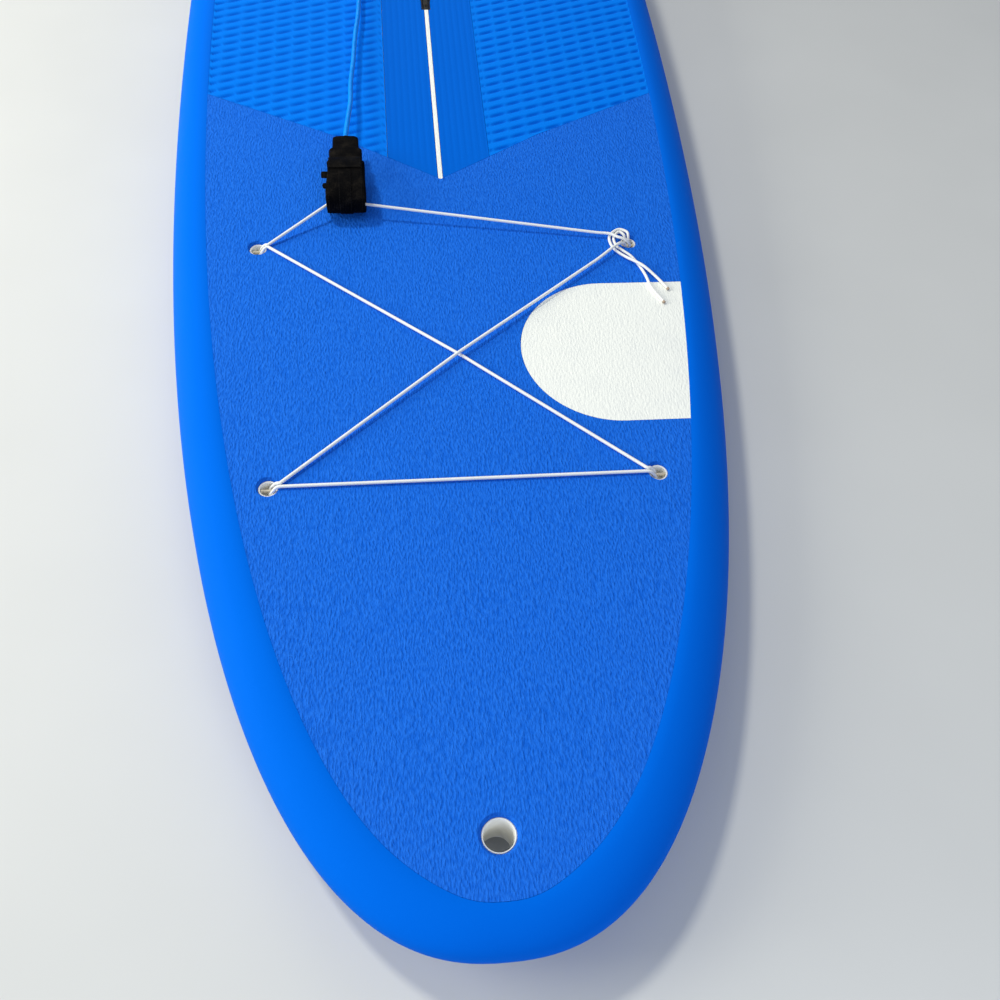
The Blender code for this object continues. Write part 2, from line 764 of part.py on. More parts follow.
def handle_pocket():
    recess = (RECESS_END_HALF, RECESS_HALF)
    top = handle_outline(*recess, RECESS_FOAM, RECESS_END_FOAM)
    fit = handle_outline(*recess, GAP, GAP)
    deck = BOARD_THICKNESS
    floor = deck - RECESS_DEPTH - GAP
    levels = [(top, deck + OPEN_AIR), (top, deck), (fit, deck - PAD), (fit, floor)]
    return handle_stack("handle_pocket", levels)


def make_handle():
    deck = BOARD_THICKNESS
    recess = (RECESS_END_HALF, RECESS_HALF)
    bar = (BAR_END_HALF, BAR_HALF)
    bar_top = deck - BAR_DEPTH
    bar_low = bar_top - BAR_THICK
    rim = deck - RIM_DEPTH
    floor = deck - RECESS_DEPTH
    body = handle_outline(*recess)
    cup = handle_stack("handle_cup", [(body, floor), (body, rim)])
    inside = handle_outline(*recess, grow=-RECESS_WALL, trim=LEDGE)
    well = handle_stack("well", [(inside, floor + RECESS_WALL), (inside, deck)])
    channel_plan = handle_outline(*bar, grow=GAP, stretch=LEDGE)
    channel = handle_stack("channel", [(channel_plan, bar_low - GAP), (channel_plan, deck)])
    grip_plan = handle_outline(*bar)
    grip = handle_stack("handle_grip", [(grip_plan, bar_low), (grip_plan, bar_top)])
    carve(cup, [well, channel])
    discard(well, channel)

    places = {
        "handle_screw_front": HANDLE_FRONT + HANDLE_SCREW_INSET,
        "handle_screw_rear": HANDLE_FRONT + HANDLE_LENGTH - HANDLE_SCREW_INSET,
    }
    head_top = bar_top - GAP
    head_low = head_top - HANDLE_SCREW_HEAD_THICK
    foot = head_low - HANDLE_SCREW_LENGTH
    for name, y in places.items():
        place = Matrix.Translation((0, y, 0))
        sink = rod("sink", HANDLE_SCREW_HEAD + GAP, head_low - GAP, deck)
        drill = rod("drill", HANDLE_SCREW_SHANK + GAP, foot - GAP, deck, SMALL_ROUND)
        for tool in (sink, drill):
            tool.matrix_local = place
        carve(grip, [sink, drill])
        carve(cup, [drill])
        discard(sink, drill)
        profile = [
            (0.0, head_top), (HANDLE_SCREW_HEAD, head_top), (HANDLE_SCREW_HEAD, head_low),
            (HANDLE_SCREW_SHANK, head_low), (HANDLE_SCREW_SHANK, foot), (0.0, foot),
        ]
        shade(piece(finish(turned(name, profile, SMALL_ROUND), STEEL, 0.3, 1.0), place))
    shade(piece(finish(cup, BLACK, 0.5)))
    shade(piece(finish(grip, BLACK, 0.6)))


# Bungee
def cup_point(cup, x, y, z):
    """Board point from a cup's centre in halves of the cord's radius, its height from the curved deck."""
    seat = deck_seat(*TIE_CUPS[cup])
    unit = BUNGEE_RADIUS / 2
    point = seat @ (Vector((x, y, z)) * unit)
    level = seat @ (Vector((x, y, 0.0)) * unit)
    point.z += deck_z(level.y) - level.z
    return point


def pin_loop(cup, enter):
    """Route in from midships along the aft (+1) or fore (-1) side, under the pin and back out."""
    inboard = -1 if TIE_CUPS[cup][0] > 0 else 1
    leg = ((14.5, 2.5, 3.0), (10.2, 2.9, 1.8), (6.4, 3.6, -2.6), (3.4, 4.2, -7.2), (1.6, 3.2, -11.3))
    way_in = [cup_point(cup, inboard * x, enter * y, z) for x, y, z in leg]
    way_out = [cup_point(cup, inboard * x, -enter * y, z) for x, y, z in leg[::-1]]
    return [*way_in, cup_point(cup, inboard, 0, -12.9), *way_out]


def bungee_route():
    knot = "tie_cup_rear_starboard"
    outer_tail = (
        (38.8, -97.9, 2.4), (24.7, -73.4, 3.6), (11.5, -58.2, 7.1), (0.9, -47.4, 6.6), (-8.3, -36.9, 4.0),
        (-19.3, -23.4, 2.4), (-25.1, -12.5, 2.4), (-26.8, 1.4, 2.4), (-23.3, 11.7, 2.4), (-9.8, 21.2, 2.4),
        (0.6, 14.5, 3.0), (1.4, 9.8, 2.0), (1.7, 6.6, -1.8), (1.8, 4.5, -7.4),
    )
    rear_line = (
        (1.8, 3.2, -11.4), (1.8, 0.0, -13.0), (1.8, -3.2, -11.4), (1.8, -4.4, -7.8), (1.6, -4.6, -2.4),
        (-3.5, -3.2, 4.2), (-9.5, -1.6, 6.9), (-15.0, 0.1, 7.4), (-25.8, 7.0, 7.5), (-45.1, 10.4, 7.2),
    )
    diagonal = (
        (-53.4, -44.7, 6.6), (-23.6, -18.7, 7.7), (-14.5, -11.6, 7.0), (-8.3, -8.3, 3.4), (-4.4, -5.4, -2.6),
        (-3.4, -4.4, -7.8), (-3.4, -3.2, -11.4), (-3.4, 0.0, -13.0), (-3.4, 3.2, -11.4),
    )
    inner_tail = (
        (-3.4, 4.4, -7.6), (-3.6, 6.4, -1.8), (-4.8, 9.8, 2.2), (-10.8, 15.6, 2.8), (-17.6, 9.6, 2.4),
        (-20.6, 1.8, 2.4), (-18.7, -12.4, 2.4), (-11.6, -21.2, 2.4), (-2.2, -32.3, 2.4), (5.9, -49.6, 2.3),
        (11.9, -69.9, 2.3), (16.2, -94.0, 2.4), (28.6, -122.3, 2.4),
    )
    hang = CUFF_Y - CUFF_HALF_LENGTH + CUFF_STRAP + GAP + CUFF_BAND + 2.8 * BUNGEE_RADIUS
    in_cuff = deck_z(hang) + CUFF_HANG * CUFF_HALF_HEIGHT
    through_cuff = [Vector((CUFF_X + side * CUFF_WIDTH / 2, hang, in_cuff)) for side in (1, 0, -1)]
    share = REAR_CUPS_X / (REAR_CUPS_X + FRONT_CUPS_X)
    crossing = REAR_CUPS_Y + (FRONT_CUPS_Y - REAR_CUPS_Y) * share + 2.25 * BUNGEE_RADIUS
    over = Vector((2 * BUNGEE_RADIUS, crossing, deck_z(crossing) + 3.9 * BUNGEE_RADIUS))
    under = Vector((2 * BUNGEE_RADIUS, crossing, deck_z(crossing) + 1.5 * BUNGEE_RADIUS))
    return [
        *[cup_point(knot, *p) for p in outer_tail],
        *[cup_point(knot, *p) for p in rear_line],
        *through_cuff,
        *pin_loop("tie_cup_rear_port", 1),
        under,
        *pin_loop("tie_cup_front_starboard", 1),
        *pin_loop("tie_cup_front_port", -1),
        over,
        *[cup_point(knot, *p) for p in diagonal],
        *[cup_point(knot, *p) for p in inner_tail],
    ]


def make_bungee():
    path = smooth_path(bungee_route(), BUNGEE_STEP)
    print(f"bungee_cord least gap to itself {least_gap(path, 2 * BUNGEE_RADIUS) * 1000:.2f} mm")
    piece(finish(cord("bungee_cord", path, BUNGEE_RADIUS), WHITE, 0.6))


# Cuff
def oval(half_length, half_height, lift, turns):
    """Points of a flat oval in Y and Z, resting lift above the deck."""
    centre = lift + half_height
    points = []
    for turn in turns:
        c = cos(turn)
        s = sin(turn)
        y = half_length * abs(c) ** (2 / CUFF_SQUARENESS) * (1 if c > 0 else -1)
        z = centre + half_height * abs(s) ** (2 / CUFF_SQUARENESS) * (1 if s > 0 else -1)
        points.append((y, z))
    return points


def full_turn(steps=28):
    return [2 * pi * (i + 0.5) / steps for i in range(steps)]


def cuff_oval(depth, turns):
    """Oval at a depth below the cuff's outer face."""
    return oval(CUFF_HALF_LENGTH - depth, CUFF_HALF_HEIGHT - depth, GAP + depth, turns)


def make_cuff():
    seat = deck_seat(CUFF_X, CUFF_Y)
    band_out = CUFF_STRAP + GAP
    band = side_prism("cuff_band", cuff_oval(band_out, full_turn()), CUFF_WIDTH)
    hollow = side_prism("hollow", cuff_oval(band_out + CUFF_BAND, full_turn()), 2 * CUFF_WIDTH)
    carve(band, [hollow])
    discard(hollow)
    shade(piece(finish(band, BLACK, 0.9), seat))

    fold = CUFF_FOLD * pi / 180
    end = CUFF_STRAP_END * pi / 180
    turns = [fold + (end - fold) * i / 20 for i in range(21)]
    layer = cuff_oval(0.0, turns) + cuff_oval(CUFF_STRAP, turns[::-1])
    shade(piece(finish(side_prism("cuff_strap", layer, CUFF_WIDTH), BLACK, 0.8), seat))

    tab_x = -CUFF_WIDTH / 2 - GAP
    tab_low = (tab_x - CUFF_TAB_REACH, CUFF_TAB_FRONT, CUFF_TAB_HEIGHT)
    tab_high = (tab_x, CUFF_TAB_FRONT + CUFF_TAB_LENGTH, CUFF_TAB_HEIGHT + CUFF_TAB_THICK)
    tab = block("cuff_pull_tab", tab_low, tab_high)
    piece(finish(tab, BLACK, 0.8), seat)

    neck_seat = seat @ Matrix.Translation((0, CUFF_HALF_LENGTH, GAP + CUFF_NECK_HEIGHT))
    neck = make_neck("cuff_neck", CUFF_NECK_WIDTHS, NECK_LENGTH, CUFF_HALF_LENGTH / 2)
    sleeve = side_prism("sleeve", cuff_oval(band_out - GAP, full_turn()), 2 * CUFF_WIDTH)
    sleeve.matrix_local = Matrix.Translation((0, -CUFF_HALF_LENGTH, -GAP - CUFF_NECK_HEIGHT))
    carve(neck, [sleeve])
    discard(sleeve)
    shade(piece(finish(neck, BLACK, 0.7), neck_seat))
    make_swivel("cuff", neck_seat @ Matrix.Translation((0, NECK_LENGTH, 0)))


def make_neck(name, widths, length, root):
    """Moulded end that holds a swivel, tip towards +Y, reaching root behind its start."""
    shoulder = length - NECK_TIP_LENGTH
    half, tip_half = (width / 2 for width in widths)
    side = [(half, -root), (half, shoulder), (tip_half, shoulder + NECK_SHOULDER), (tip_half, length)]
    outline = side + [(-x, y) for x, y in reversed(side)]
    neck = prism(name, outline, -NECK_THICK / 2, NECK_THICK / 2)
    face = length + SWIVEL_OUT - SWIVEL_LENGTH
    cell = rod("cell", SWIVEL_RADIUS + SWIVEL_CLEARANCE, face - GAP, 1.0)
    socket = rod("socket", SWIVEL_PIN_RADIUS + GAP, face - SWIVEL_SOCKET - GAP, 1.0, SMALL_ROUND)
    for tool in (cell, socket):
        tool.matrix_local = along()
    carve(neck, [cell, socket])
    discard(cell, socket)
    return neck


def make_swivel(owner, tip):
    """Barrel and headed pin in the neck that ends at tip, cord side towards +Y."""
    seat = along(tip @ Matrix.Translation((0, SWIVEL_OUT - SWIVEL_LENGTH, 0)))
    shank_bore = SWIVEL_PIN_RADIUS + GAP
    head_bore = SWIVEL_HEAD_RADIUS + SWIVEL_CLEARANCE
    head_from = SWIVEL_MOUTH + SWIVEL_CLEARANCE
    head_to = head_from + SWIVEL_HEAD
    barrel = [
        (0.0, SWIVEL_LENGTH), (SWIVEL_RADIUS, SWIVEL_LENGTH), (SWIVEL_RADIUS, 0.0), (shank_bore, 0.0),
        (shank_bore, SWIVEL_MOUTH), (head_bore, SWIVEL_MOUTH), (head_bore, head_to + SWIVEL_CLEARANCE),
        (0.0, head_to + SWIVEL_CLEARANCE),
    ]
    pin = [
        (0.0, -SWIVEL_SOCKET), (SWIVEL_PIN_RADIUS, -SWIVEL_SOCKET), (SWIVEL_PIN_RADIUS, head_from),
        (SWIVEL_HEAD_RADIUS, head_from), (SWIVEL_HEAD_RADIUS, head_to), (0.0, head_to),
    ]
    shade(piece(finish(turned(f"{owner}_swivel", barrel, 16), BLACK, 0.4), seat))
    shade(piece(finish(turned(f"{owner}_swivel_pin", pin, SMALL_ROUND), STEEL, 0.3, 1.0), seat))


# Rail saver, leash string and leash cord
def saver_seat():
    """Frame at the rail saver's eye, Y towards the nose along the deck."""
    plug_y = BOARD_LENGTH - LEASH_PLUG_FROM_TAIL
    middle = plug_y - SAVER_FROM_PLUG - SAVER_LENGTH / 2
    back = deck_seat(LEASH_PLUG_X, middle) @ Matrix.Translation((0, SAVER_LENGTH / 2, SAVER_LIFT))
    return back @ Matrix.Rotation(pi, 4, "Z")


def make_rail_saver():
    seat = saver_seat()
    eye_height = SAVER_EYE_RADIUS
    far = (SAVER_WIDTH / 2, SAVER_LENGTH, SAVER_THICK)
    strap = block("rail_saver", (-SAVER_WIDTH / 2, 0.0, 0.0), far)
    eye = rod("eye", SAVER_EYE_RADIUS, -SAVER_WIDTH / 2, SAVER_WIDTH / 2, 16)
    bore = rod("bore", SAVER_EYE_BORE, -SAVER_WIDTH, SAVER_WIDTH, SMALL_ROUND)
    for tool in (eye, bore):
        tool.matrix_local = across(Matrix.Translation((0, 0, eye_height)))
    carve(strap, [eye], "UNION")
    carve(strap, [bore])
    discard(eye, bore)
    shade(piece(finish(strap, BLACK, 0.8), seat))
    place = seat @ Matrix.Translation((0, SAVER_LENGTH + GAP, NECK_THICK / 2))
    neck = make_neck("rail_saver_neck", SAVER_NECK_WIDTHS, SAVER_NECK_LENGTH, 0.0)
    shade(piece(finish(neck, BLACK, 0.6), place))
    make_swivel("rail_saver", place @ Matrix.Translation((0, SAVER_NECK_LENGTH, 0)))


def make_leash_string():
    """Closed loop round the plug's pin and through the rail saver's eye, in thirds of its diameter."""
    plug = deck_seat(LEASH_PLUG_X, BOARD_LENGTH - LEASH_PLUG_FROM_TAIL)
    eye = saver_seat()
    unit = 2 * STRING_RADIUS / 3
    in_cup = (
        (4, -6, -3), (0, -5.4, -8), (0, 0, -12.6), (0, 5.4, -8), (-3, 6.4, -2), (-7.5, 1.5, 2.4),
        (-10, -10, 3.4),
    )
    by_eye = ((14.5, -14, 4), (16, 0, 5), (8, 0, 5), (0, 0, 5), (-8, 0, 5), (-16, 0, 5), (-14.5, -14, 4))
    back = ((8.5, -20, 3.4), (6.5, -11, 1.6))
    route = [plug @ (Vector(p) * unit) for p in in_cup]
    route += [eye @ (Vector(p) * unit) for p in by_eye]
    route += [plug @ (Vector(p) * unit) for p in back]
    path = smooth_path(route, STRING_STEP, closed=True)
    piece(finish(cord("leash_string", path, STRING_RADIUS, closed=True), BLACK, 0.7))


def leash_route():
    """Leash cord from the cuff's swivel to the rail saver's: share of the way, offset and height."""
    cuff_reach = CUFF_HALF_LENGTH + NECK_LENGTH
    cuff_tip = deck_seat(CUFF_X, CUFF_Y) @ Vector((0, cuff_reach, GAP + CUFF_NECK_HEIGHT))
    cuff_way = deck_seat(CUFF_X, CUFF_Y).to_3x3() @ Vector((0, 1, 0))
    reach = SAVER_LENGTH + GAP + SAVER_NECK_LENGTH
    saver_tip = saver_seat() @ Vector((0, reach, NECK_THICK / 2))
    saver_way = saver_seat().to_3x3() @ Vector((0, 1, 0))
    lead = 2 * CORD_RADIUS
    free = (
        (0.0300, -0.1306, 0.0290), (0.0585, -0.1270, 0.0250), (0.0905, -0.1263, 0.0213),
        (0.1275, -0.1222, 0.0182), (0.1563, -0.1201, 0.0163), (0.1815, -0.1173, 0.0152),
        (0.2061, -0.1137, 0.0145), (0.2400, -0.1115, 0.0130), (0.2961, -0.1082, 0.0095),
        (0.4077, -0.1010, 0.0060), (0.5010, -0.0850, 0.0045), (0.6006, -0.0800, 0.0042),
        (0.7127, -0.0880, 0.0042), (0.8247, -0.0860, 0.0042), (0.9118, -0.0650, 0.0045),
    )
    route = [cuff_tip + cuff_way * (SWIVEL_OUT + GAP)]
    route.append(route[0] + cuff_way * lead)
    for share, x, height in free:
        y = cuff_tip.y + (saver_tip.y - cuff_tip.y) * share
        route.append(Vector((x, y, deck_z(y) + height)))
    last = saver_tip + saver_way * (SWIVEL_OUT + GAP)
    return route + [last + saver_way * 3 * lead, last + saver_way * lead, last]


def make_leash_cord():
    path = smooth_path(leash_route(), LEASH_STEP, 1.0)
    length = sum((q - p).length for p, q in zip(path, path[1:]))
    print(f"leash_cord length {length:.3f} m, {len(path)} points")
    piece(finish(cord("leash_cord", path, CORD_RADIUS), CLEAR_BLUE, 0.3))


# Fin box and fin
def box_seat():
    """Frame on the chord of the hull under the fin box, Y aft along it and Z into the board."""
    front = BOARD_LENGTH - BOX_FROM_TAIL - BOX_LENGTH / 2
    rear = front + BOX_LENGTH
    slope = (hull_z(rear) - hull_z(front)) / BOX_LENGTH
    middle = (0.0, (front + rear) / 2, (hull_z(front) + hull_z(rear)) / 2)
    return Matrix.Translation(middle) @ Matrix.Rotation(atan(slope), 4, "X")


def centred_block(name, width, length, low, high):
    return block(name, (-width / 2, -length / 2, low), (width / 2, length / 2, high))


def box_pocket():
    fit = 2 * GAP
    top = BOX_HEIGHT + GAP
    pocket = centred_block("box_pocket", BOX_WIDTH + fit, BOX_LENGTH + fit, -OPEN_AIR, top)
    pocket.matrix_local = box_seat()
    return pocket


def make_fin_box():
    box = centred_block("fin_box", BOX_WIDTH, BOX_LENGTH, 0.0, BOX_HEIGHT)
    slot = centred_block("slot", SLOT_WIDTH, SLOT_LENGTH, -1.0, SLOT_DEPTH)
    run = SLOT_LENGTH - 2 * GAP
    channel = centred_block("channel", CHANNEL_WIDTH, run, CHANNEL_FROM, CHANNEL_TO)
    notch = centred_block("notch", CHANNEL_WIDTH, NOTCH, -1.0, (CHANNEL_FROM + CHANNEL_TO) / 2)
    carve(box, [slot, channel, notch])
    discard(slot, channel, notch)
    piece(finish(box, BLACK, 0.5), box_seat())


def fin_tip_place():
    """Middle of the fin's tip in the board's frame."""
    return box_seat() @ Vector((0.0, FIN_SWEEP, -FIN_DEPTH))


def ground_slope():
    """Rise towards the nose of the line from the fin's tip that touches the hull."""
    tip = fin_tip_place()
    slopes = []
    for inset in (EDGE_WIDTH, EDGE_WIDTH + GAP):
        for point, outward in perimeter():
            y = (point - outward * inset).y
            if y < WIDE_POINT:
                slopes.append((hull_z(y) - tip.z) / (tip.y - y))
    return min(slopes)


def fin_ring(share):
    """Closed foil section, share of the way from the hull to the tip."""
    front = -FIN_BASE / 2 + FIN_EAR
    rear = FIN_BASE / 2
    tip_front = FIN_SWEEP - FIN_TIP_CHORD / 2
    tip_rear = FIN_SWEEP + FIN_TIP_CHORD / 2
    lead = front + (tip_front - front) * share ** FIN_LEAD_CURVE
    trail = rear + (tip_rear - rear) * share - FIN_TRAIL_HOLLOW * sin(pi * share)
    thick = FIN_TAB_WIDTH + (FIN_TIP_THICK - FIN_TAB_WIDTH) * share
    chord = trail - lead
    side = []
    for k in range(FIN_SIDE_STEPS + 1):
        c = (k / FIN_SIDE_STEPS) ** FIN_FOIL_CURVE
        side.append((2 * thick * (sqrt(c) - c), lead + chord * c))
    lean = tan(atan(ground_slope()) + box_seat().to_euler().x) if share == 1.0 else 0.0
    ring = side + [(-x, y) for x, y in side[-2:0:-1]]
    return [(x, y, -FIN_DEPTH * share - lean * (y - FIN_SWEEP)) for x, y in ring]


def make_fin():
    seat = box_seat()
    fin = loft("fin", [fin_ring(i / FIN_RINGS) for i in range(FIN_RINGS + 1)])
    front = -FIN_BASE / 2
    rear = FIN_BASE / 2
    shoulder = front + FIN_EAR
    foot = -GAP
    profile = [
        (front, EAR_FROM), (front, EAR_TO), (shoulder, EAR_TO), (shoulder, FIN_TAB_HEIGHT),
        (rear, FIN_TAB_HEIGHT), (rear, foot), (shoulder, foot), (shoulder, EAR_FROM),
    ]
    tab = side_prism("tab", profile, FIN_TAB_WIDTH)
    carve(fin, [tab], "UNION")
    screw_y = front + FIN_EAR / 2
    pin_y = rear - FIN_PIN_INSET
    pin_z = (CHANNEL_FROM + CHANNEL_TO) / 2
    drill = rod("drill", FIN_SCREW_SHANK + GAP, 0.0, SLOT_DEPTH, SMALL_ROUND)
    drill.matrix_local = Matrix.Translation((0, screw_y, 0))
    pin_place = Matrix.Translation((0, pin_y, pin_z))
    pin_bore = FIN_PIN_RADIUS + PIN_CLEARANCE
    pin_drill = rod("pin_drill", pin_bore, -FIN_TAB_WIDTH, FIN_TAB_WIDTH, SMALL_ROUND)
    pin_drill.matrix_local = across(pin_place)
    carve(fin, [drill, pin_drill])
    shade(piece(finish(fin, BLACK, 0.35), seat))
    discard(tab, pin_drill)

    half = CHANNEL_WIDTH / 2 - GAP
    pin = rod("fin_pin", FIN_PIN_RADIUS, -half, half, SMALL_ROUND)
    shade(piece(finish(pin, STEEL, 0.3, 1.0), across(seat @ pin_place)))

    plate_low = CHANNEL_FROM + GAP
    plate = centred_block("fin_plate", PLATE_WIDTH, PLATE_LENGTH, plate_low, plate_low + PLATE_THICK)
    drill.matrix_local = Matrix.Identity(4)
    carve(plate, [drill])
    discard(drill)
    screw_seat = seat @ Matrix.Translation((0, screw_y, 0))
    piece(finish(plate, STEEL, 0.3, 1.0), screw_seat)

    head_high = EAR_FROM - GAP
    head_low = head_high - FIN_SCREW_HEAD_THICK
    end = plate_low + PLATE_THICK + GAP
    profile = [
        (0.0, head_low), (FIN_SCREW_HEAD, head_low), (FIN_SCREW_HEAD, head_high),
        (FIN_SCREW_SHANK, head_high), (FIN_SCREW_SHANK, end), (0.0, end),
    ]
    screw = turned("fin_screw", profile, SMALL_ROUND)
    cut_key(screw, FIN_SCREW_HEAD, -1.0, head_low + KEY_DEPTH)
    shade(piece(finish(screw, STEEL, 0.3, 1.0), screw_seat))


def lie_on_fin():
    """Lay the board on its hull and fin tip, its box centred on the origin in plan."""
    board.rotation_euler.x = atan(ground_slope())
    bpy.context.view_layer.update()
    graph = bpy.context.evaluated_depsgraph_get()
    corners = []
    for obj in board.children:
        solid = obj.evaluated_get(graph)
        if obj.name != "leash_cord":
            mesh = solid.to_mesh()
            corners += [tuple(solid.matrix_world @ v.co) for v in mesh.vertices]
            solid.to_mesh_clear()
    spots = np.array(corners)
    low = spots.min(axis=0)
    high = spots.max(axis=0)
    board.location = (-(low[0] + high[0]) / 2, -(low[1] + high[1]) / 2, -low[2])
    bpy.context.view_layer.update()


for old in list(bpy.data.objects):
    bpy.data.objects.remove(old)
board = link("board", None)

plug_depth = PLUG_RIM_DEPTH + PLUG_DEPTH + CUP_FLOOR
cup_depth = RIM_DEPTH + CUP_DEPTH + CUP_FLOOR
plug_y = BOARD_LENGTH - LEASH_PLUG_FROM_TAIL
pockets = [
    round_pocket("nose_hole", 0.0, NOSE_TUBE_Y, TUBE_RADIUS, TUBE_FOAM_RADIUS, 2 * BOARD_THICKNESS),
    round_pocket("vent_hole", *VENT_PLACE, VENT_RADIUS, VENT_FOAM_RADIUS, VENT_DEPTH, VENT_FLANGE),
    round_pocket("plug_hole", LEASH_PLUG_X, plug_y, PLUG_RADIUS, PLUG_FOAM_RADIUS, plug_depth),
    handle_pocket(),
    box_pocket(),
]
for cup, place in TIE_CUPS.items():
    pockets.append(round_pocket(f"{cup}_hole", *place, CUP_RADIUS, CUP_FOAM_RADIUS, cup_depth))

make_cores()
make_rail_wrap()
make_skins()
make_pads()
make_nose_tube()
make_tie_cups()
make_handle()
make_vent()
make_leash_cup()
make_fin_box()
make_fin()
make_bungee()
make_cuff()
make_rail_saver()
make_leash_string()
make_leash_cord()
discard(*pockets)
lie_on_fin()
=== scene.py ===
# %% [markdown]
# # A soft-skinned stand-up paddle board, dressed for the camera
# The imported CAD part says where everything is. This lesson puts the looks around it: a moulded foam
# rail, grained and embossed deck foam, a braided bungee, a sewn leash cuff, and the small fittings
# of the deck and the tail. The camera comes first, because it decides what can be seen.

import json
from math import atan, ceil, cos, exp, pi, radians, sin, sqrt, tan

import bmesh
import bpy
import numpy as np
from mathutils import Matrix, Vector

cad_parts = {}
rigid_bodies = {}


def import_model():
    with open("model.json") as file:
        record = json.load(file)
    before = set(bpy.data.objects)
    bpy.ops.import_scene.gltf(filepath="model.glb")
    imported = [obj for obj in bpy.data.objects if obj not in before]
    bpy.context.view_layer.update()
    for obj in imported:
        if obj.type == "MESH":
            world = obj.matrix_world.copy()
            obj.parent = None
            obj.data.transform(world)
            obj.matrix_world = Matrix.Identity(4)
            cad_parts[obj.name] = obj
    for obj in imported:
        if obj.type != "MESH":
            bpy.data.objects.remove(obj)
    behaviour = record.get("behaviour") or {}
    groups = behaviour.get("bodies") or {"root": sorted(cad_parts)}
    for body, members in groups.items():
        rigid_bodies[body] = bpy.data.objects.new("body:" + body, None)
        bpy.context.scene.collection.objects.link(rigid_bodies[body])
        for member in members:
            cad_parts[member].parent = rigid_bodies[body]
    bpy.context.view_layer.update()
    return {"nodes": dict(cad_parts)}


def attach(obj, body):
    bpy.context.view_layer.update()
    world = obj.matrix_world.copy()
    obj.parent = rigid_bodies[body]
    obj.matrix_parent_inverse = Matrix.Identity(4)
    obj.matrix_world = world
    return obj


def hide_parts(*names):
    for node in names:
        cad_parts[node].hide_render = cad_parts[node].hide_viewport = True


for old in list(bpy.data.objects):
    bpy.data.objects.remove(old)
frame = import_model()
nodes = frame["nodes"]

# %% [markdown]
# ## Camera
# The photograph was taken by hand from above the nose, looking back along the deck. Its place and
# its turn were worked out from the floor's 60 cm tiles. The view is built from three plain turns:
# tilt away from straight down, roll about the line of sight, and a turn about the vertical.

# %% Camera
FOCAL_SHARE = 0.95267
SENSOR = 36.0
CAMERA_PLACE = Vector((-0.0711, -1.7536, 0.9634))
CAMERA_TILT = radians(36.2033)
CAMERA_ROLL = radians(5.2085)
CAMERA_YAW = radians(-9.594)

ahead = Vector((0, sin(CAMERA_TILT), -cos(CAMERA_TILT)))
head_up = Vector((0, cos(CAMERA_TILT), sin(CAMERA_TILT)))
rightward = Vector((1, 0, 0))
right = cos(CAMERA_ROLL) * rightward + sin(CAMERA_ROLL) * head_up
above = cos(CAMERA_ROLL) * head_up - sin(CAMERA_ROLL) * rightward
camera = bpy.data.objects.new("camera", bpy.data.cameras.new("camera"))
bpy.context.scene.collection.objects.link(camera)
camera.data.sensor_width = SENSOR
camera.data.lens = FOCAL_SHARE * SENSOR
camera.data.clip_start = 0.02
turn_about = Matrix.Rotation(CAMERA_YAW, 3, "Z") @ Matrix((right, above, -ahead)).transposed()
camera.matrix_world = Matrix.Translation(CAMERA_PLACE) @ turn_about.to_4x4()
bpy.context.scene.camera = camera
print("lens", round(camera.data.lens, 2), "mm, looking", [round(v, 3) for v in -turn_about.col[2]])

# %% [markdown]
# ## Floor and light
# The board lies on a plain pale floor. In the photograph the port rail is brighter than the deck
# and the starboard rail darker, while the cords' shadows stay short. So one soft lamp stands high
# on the port side, and a wide one, low on the port side, acts as a window. A far lamp, a weak cool
# one in front of the nose and a pale blue sky fill the rest. Colours are shown as they are, without
# a film curve, so that the strong blues stay as strong.

# %% Floor and light
FLOOR_HALF = 9.0
SKY = 0.30
SKY_COLOUR = (0.83, 0.93, 1.16, 1.0)
WARM = (1.0, 0.99, 0.87)
COOL = (0.86, 0.96, 1.12)
LAMPS = {
    "key": ((-1.5, 0.3, 3.1), 0.4, 54.0, WARM),
    "window": ((-3.1, -0.9, 1.35), 1.9, 88.0, WARM),
    "far": ((-0.6, 4.2, 3.2), 2.6, 44.0, WARM),
    "front": ((0.4, -2.9, 1.2), 1.2, 11.5, COOL),
}

bpy.context.scene.view_settings.view_transform = "Standard"
world = bpy.context.scene.world or bpy.data.worlds.new("sky")
bpy.context.scene.world = world
world.use_nodes = True
world.node_tree.nodes["Background"].inputs["Color"].default_value = SKY_COLOUR
world.node_tree.nodes["Background"].inputs["Strength"].default_value = SKY
look_at = Vector((0.0, -0.9, 0.1))
for name, (place, size, power, tone) in LAMPS.items():
    lamp = bpy.data.objects.new(name, bpy.data.lights.new(name, "AREA"))
    bpy.context.scene.collection.objects.link(lamp)
    lamp.data.size = size
    lamp.data.energy = power
    lamp.data.color = tone
    lamp.location = place
    lamp.rotation_euler = (look_at - lamp.location).to_track_quat("-Z", "Y").to_euler()
print(len(LAMPS), "lamps")


# %% [markdown]
# ## Node tools
# Shader and geometry trees are written as sums on wires. A wire wraps one socket, and each operator
# adds the Math node that it stands for. Everything else goes through one helper that adds a node,
# makes its settings first and then fills its sockets.

